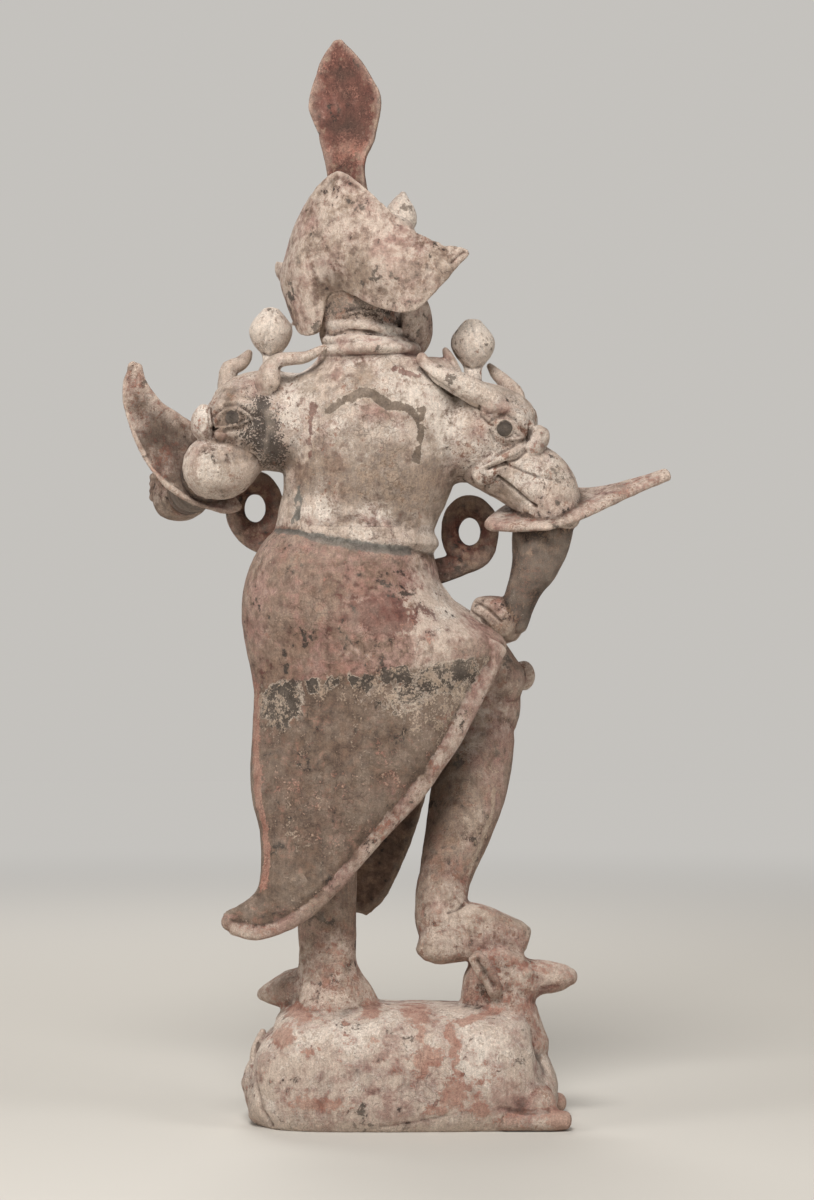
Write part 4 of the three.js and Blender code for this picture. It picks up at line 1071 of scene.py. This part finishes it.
def attribute(name):
    return addNode(tree, "ShaderNodeAttribute", {"attribute_name": name}).outputs["Fac"]


def ranged(source, low, high, least=0.0, most=1.0, kind="LINEAR"):
    settings = {"interpolation_type": kind, 1: low, 2: high, 3: least, 4: most}
    return addNode(tree, "ShaderNodeMapRange", settings, {0: source}).outputs[0]


def scaledSum(source, factor, added):
    settings = {"operation": "MULTIPLY_ADD", 1: factor}
    return addNode(tree, "ShaderNodeMath", settings, {0: source, 2: added}).outputs[0]


coordinates = addNode(tree, "ShaderNodeTexCoord").outputs["Object"]
noises = {}
for name, (scale, detail, rough, shift) in finish["noises"].items():
    settings = {"Location": (shift, shift * 2, shift * 3)}
    moved = addNode(tree, "ShaderNodeMapping", settings, {"Vector": coordinates}).outputs[0]
    noises[name] = noiseOf(moved, scale, detail, rough, 0.2)
squashed = addNode(tree, "ShaderNodeMapping", {"Scale": finish["streaks"]["squash"]}, {"Vector": coordinates})
noises["streaks"] = noiseOf(squashed.outputs[0], finish["streaks"]["scale"], 3, 0.6, 0.4)
mottle = ranged(noises["torn"], 0.38, 0.62)
colour = mixed(mottle, linear(finish["clay"][0]), linear(finish["clay"][1]))
height = noises["grain"]
for i, (name, (light, deep, soft, cover, thick, rim, pulls)) in enumerate(finish["coats"].items()):
    settings = {"Location": (0.7 * i, -0.4 * i, 0.9 * i)}
    moved = addNode(tree, "ShaderNodeMapping", settings, {"Vector": coordinates}).outputs[0]
    broad = noiseOf(moved, finish["broad"], 8, 0.66, 0.3)
    amount = attribute(name)
    for pull, source in zip(pulls, (broad, noises["torn"], noises["grain"])):
        amount = scaledSum(source, pull, amount)
    middle = 0.5 + sum(pulls) / 2
    share = ranged(amount, middle - soft, middle + soft, 0.0, cover, "SMOOTHSTEP")
    if rim:
        edged = ranged(amount, middle - soft - rim, middle - rim * 0.5, 0.0, 0.75)
        laid = ranged(attribute(name), 0.1, 0.5)  # none where the coat is only a trace
        edged = addNode(tree, "ShaderNodeMath", {"operation": "MULTIPLY"}, {0: edged, 1: laid}).outputs[0]
        colour = mixed(edged, colour, linear(finish["rim"]))
    colour = mixed(share, colour, mixed(mottle, linear(light), linear(deep)))
    if thick:
        height = scaledSum(share, thick, height)
for name, shade, strength in finish["paintedShadeDirtAndHighlight"]:
    amount = addNode(tree, "ShaderNodeMath", {"operation": "MULTIPLY", 1: strength}, {0: attribute(name)})
    colour = mixed(amount.outputs[0], colour, linear(shade))
cracks = finish["cracks"]
bent = addNode(tree, "ShaderNodeTexNoise", {"Scale": 60.0, "Detail": 3}, {"Vector": coordinates}).outputs["Color"]
settings = {"operation": "MULTIPLY_ADD", 1: (0.016, 0.016, 0.016)}
bent = addNode(tree, "ShaderNodeVectorMath", settings, {0: bent, 2: coordinates}).outputs[0]
settings = {"feature": "DISTANCE_TO_EDGE", "Scale": cracks["scale"]}
fromEdge = addNode(tree, "ShaderNodeTexVoronoi", settings, {"Vector": bent}).outputs["Distance"]
cracked = ranged(fromEdge, 0.0, cracks["half"], cracks["depth"], 0.0)
some = ranged(noiseOf(coordinates, 22, 4, 0.6, 0.0), 0.5, 0.6)
for other in (some, attribute("crackled")):
    cracked = addNode(tree, "ShaderNodeMath", {"operation": "MULTIPLY"}, {0: cracked, 1: other}).outputs[0]
colour = mixed(cracked, colour, linear("43352C"))
for name, low, high in finish["tones"]:
    colour = mixed(1.0, colour, ranged(noises[name], 0.36, 0.64, low, high), "MULTIPLY")
tree.links.new(colour, shader.inputs["Base Color"])
height = scaledSum(noises["pits"], 0.8, height)
height = scaledSum(cracked, -1.2, height)
bump = addNode(tree, "ShaderNodeBump", {"Strength": 0.7, "Distance": 0.0008}, {"Height": height})
tree.links.new(bump.outputs[0], shader.inputs["Normal"])
shader.inputs["Roughness"].default_value = finish["roughness"]
warrior.data.materials.append(earthenware)
print("painted")

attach(warrior, "root")
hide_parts("warrior_on_ox")
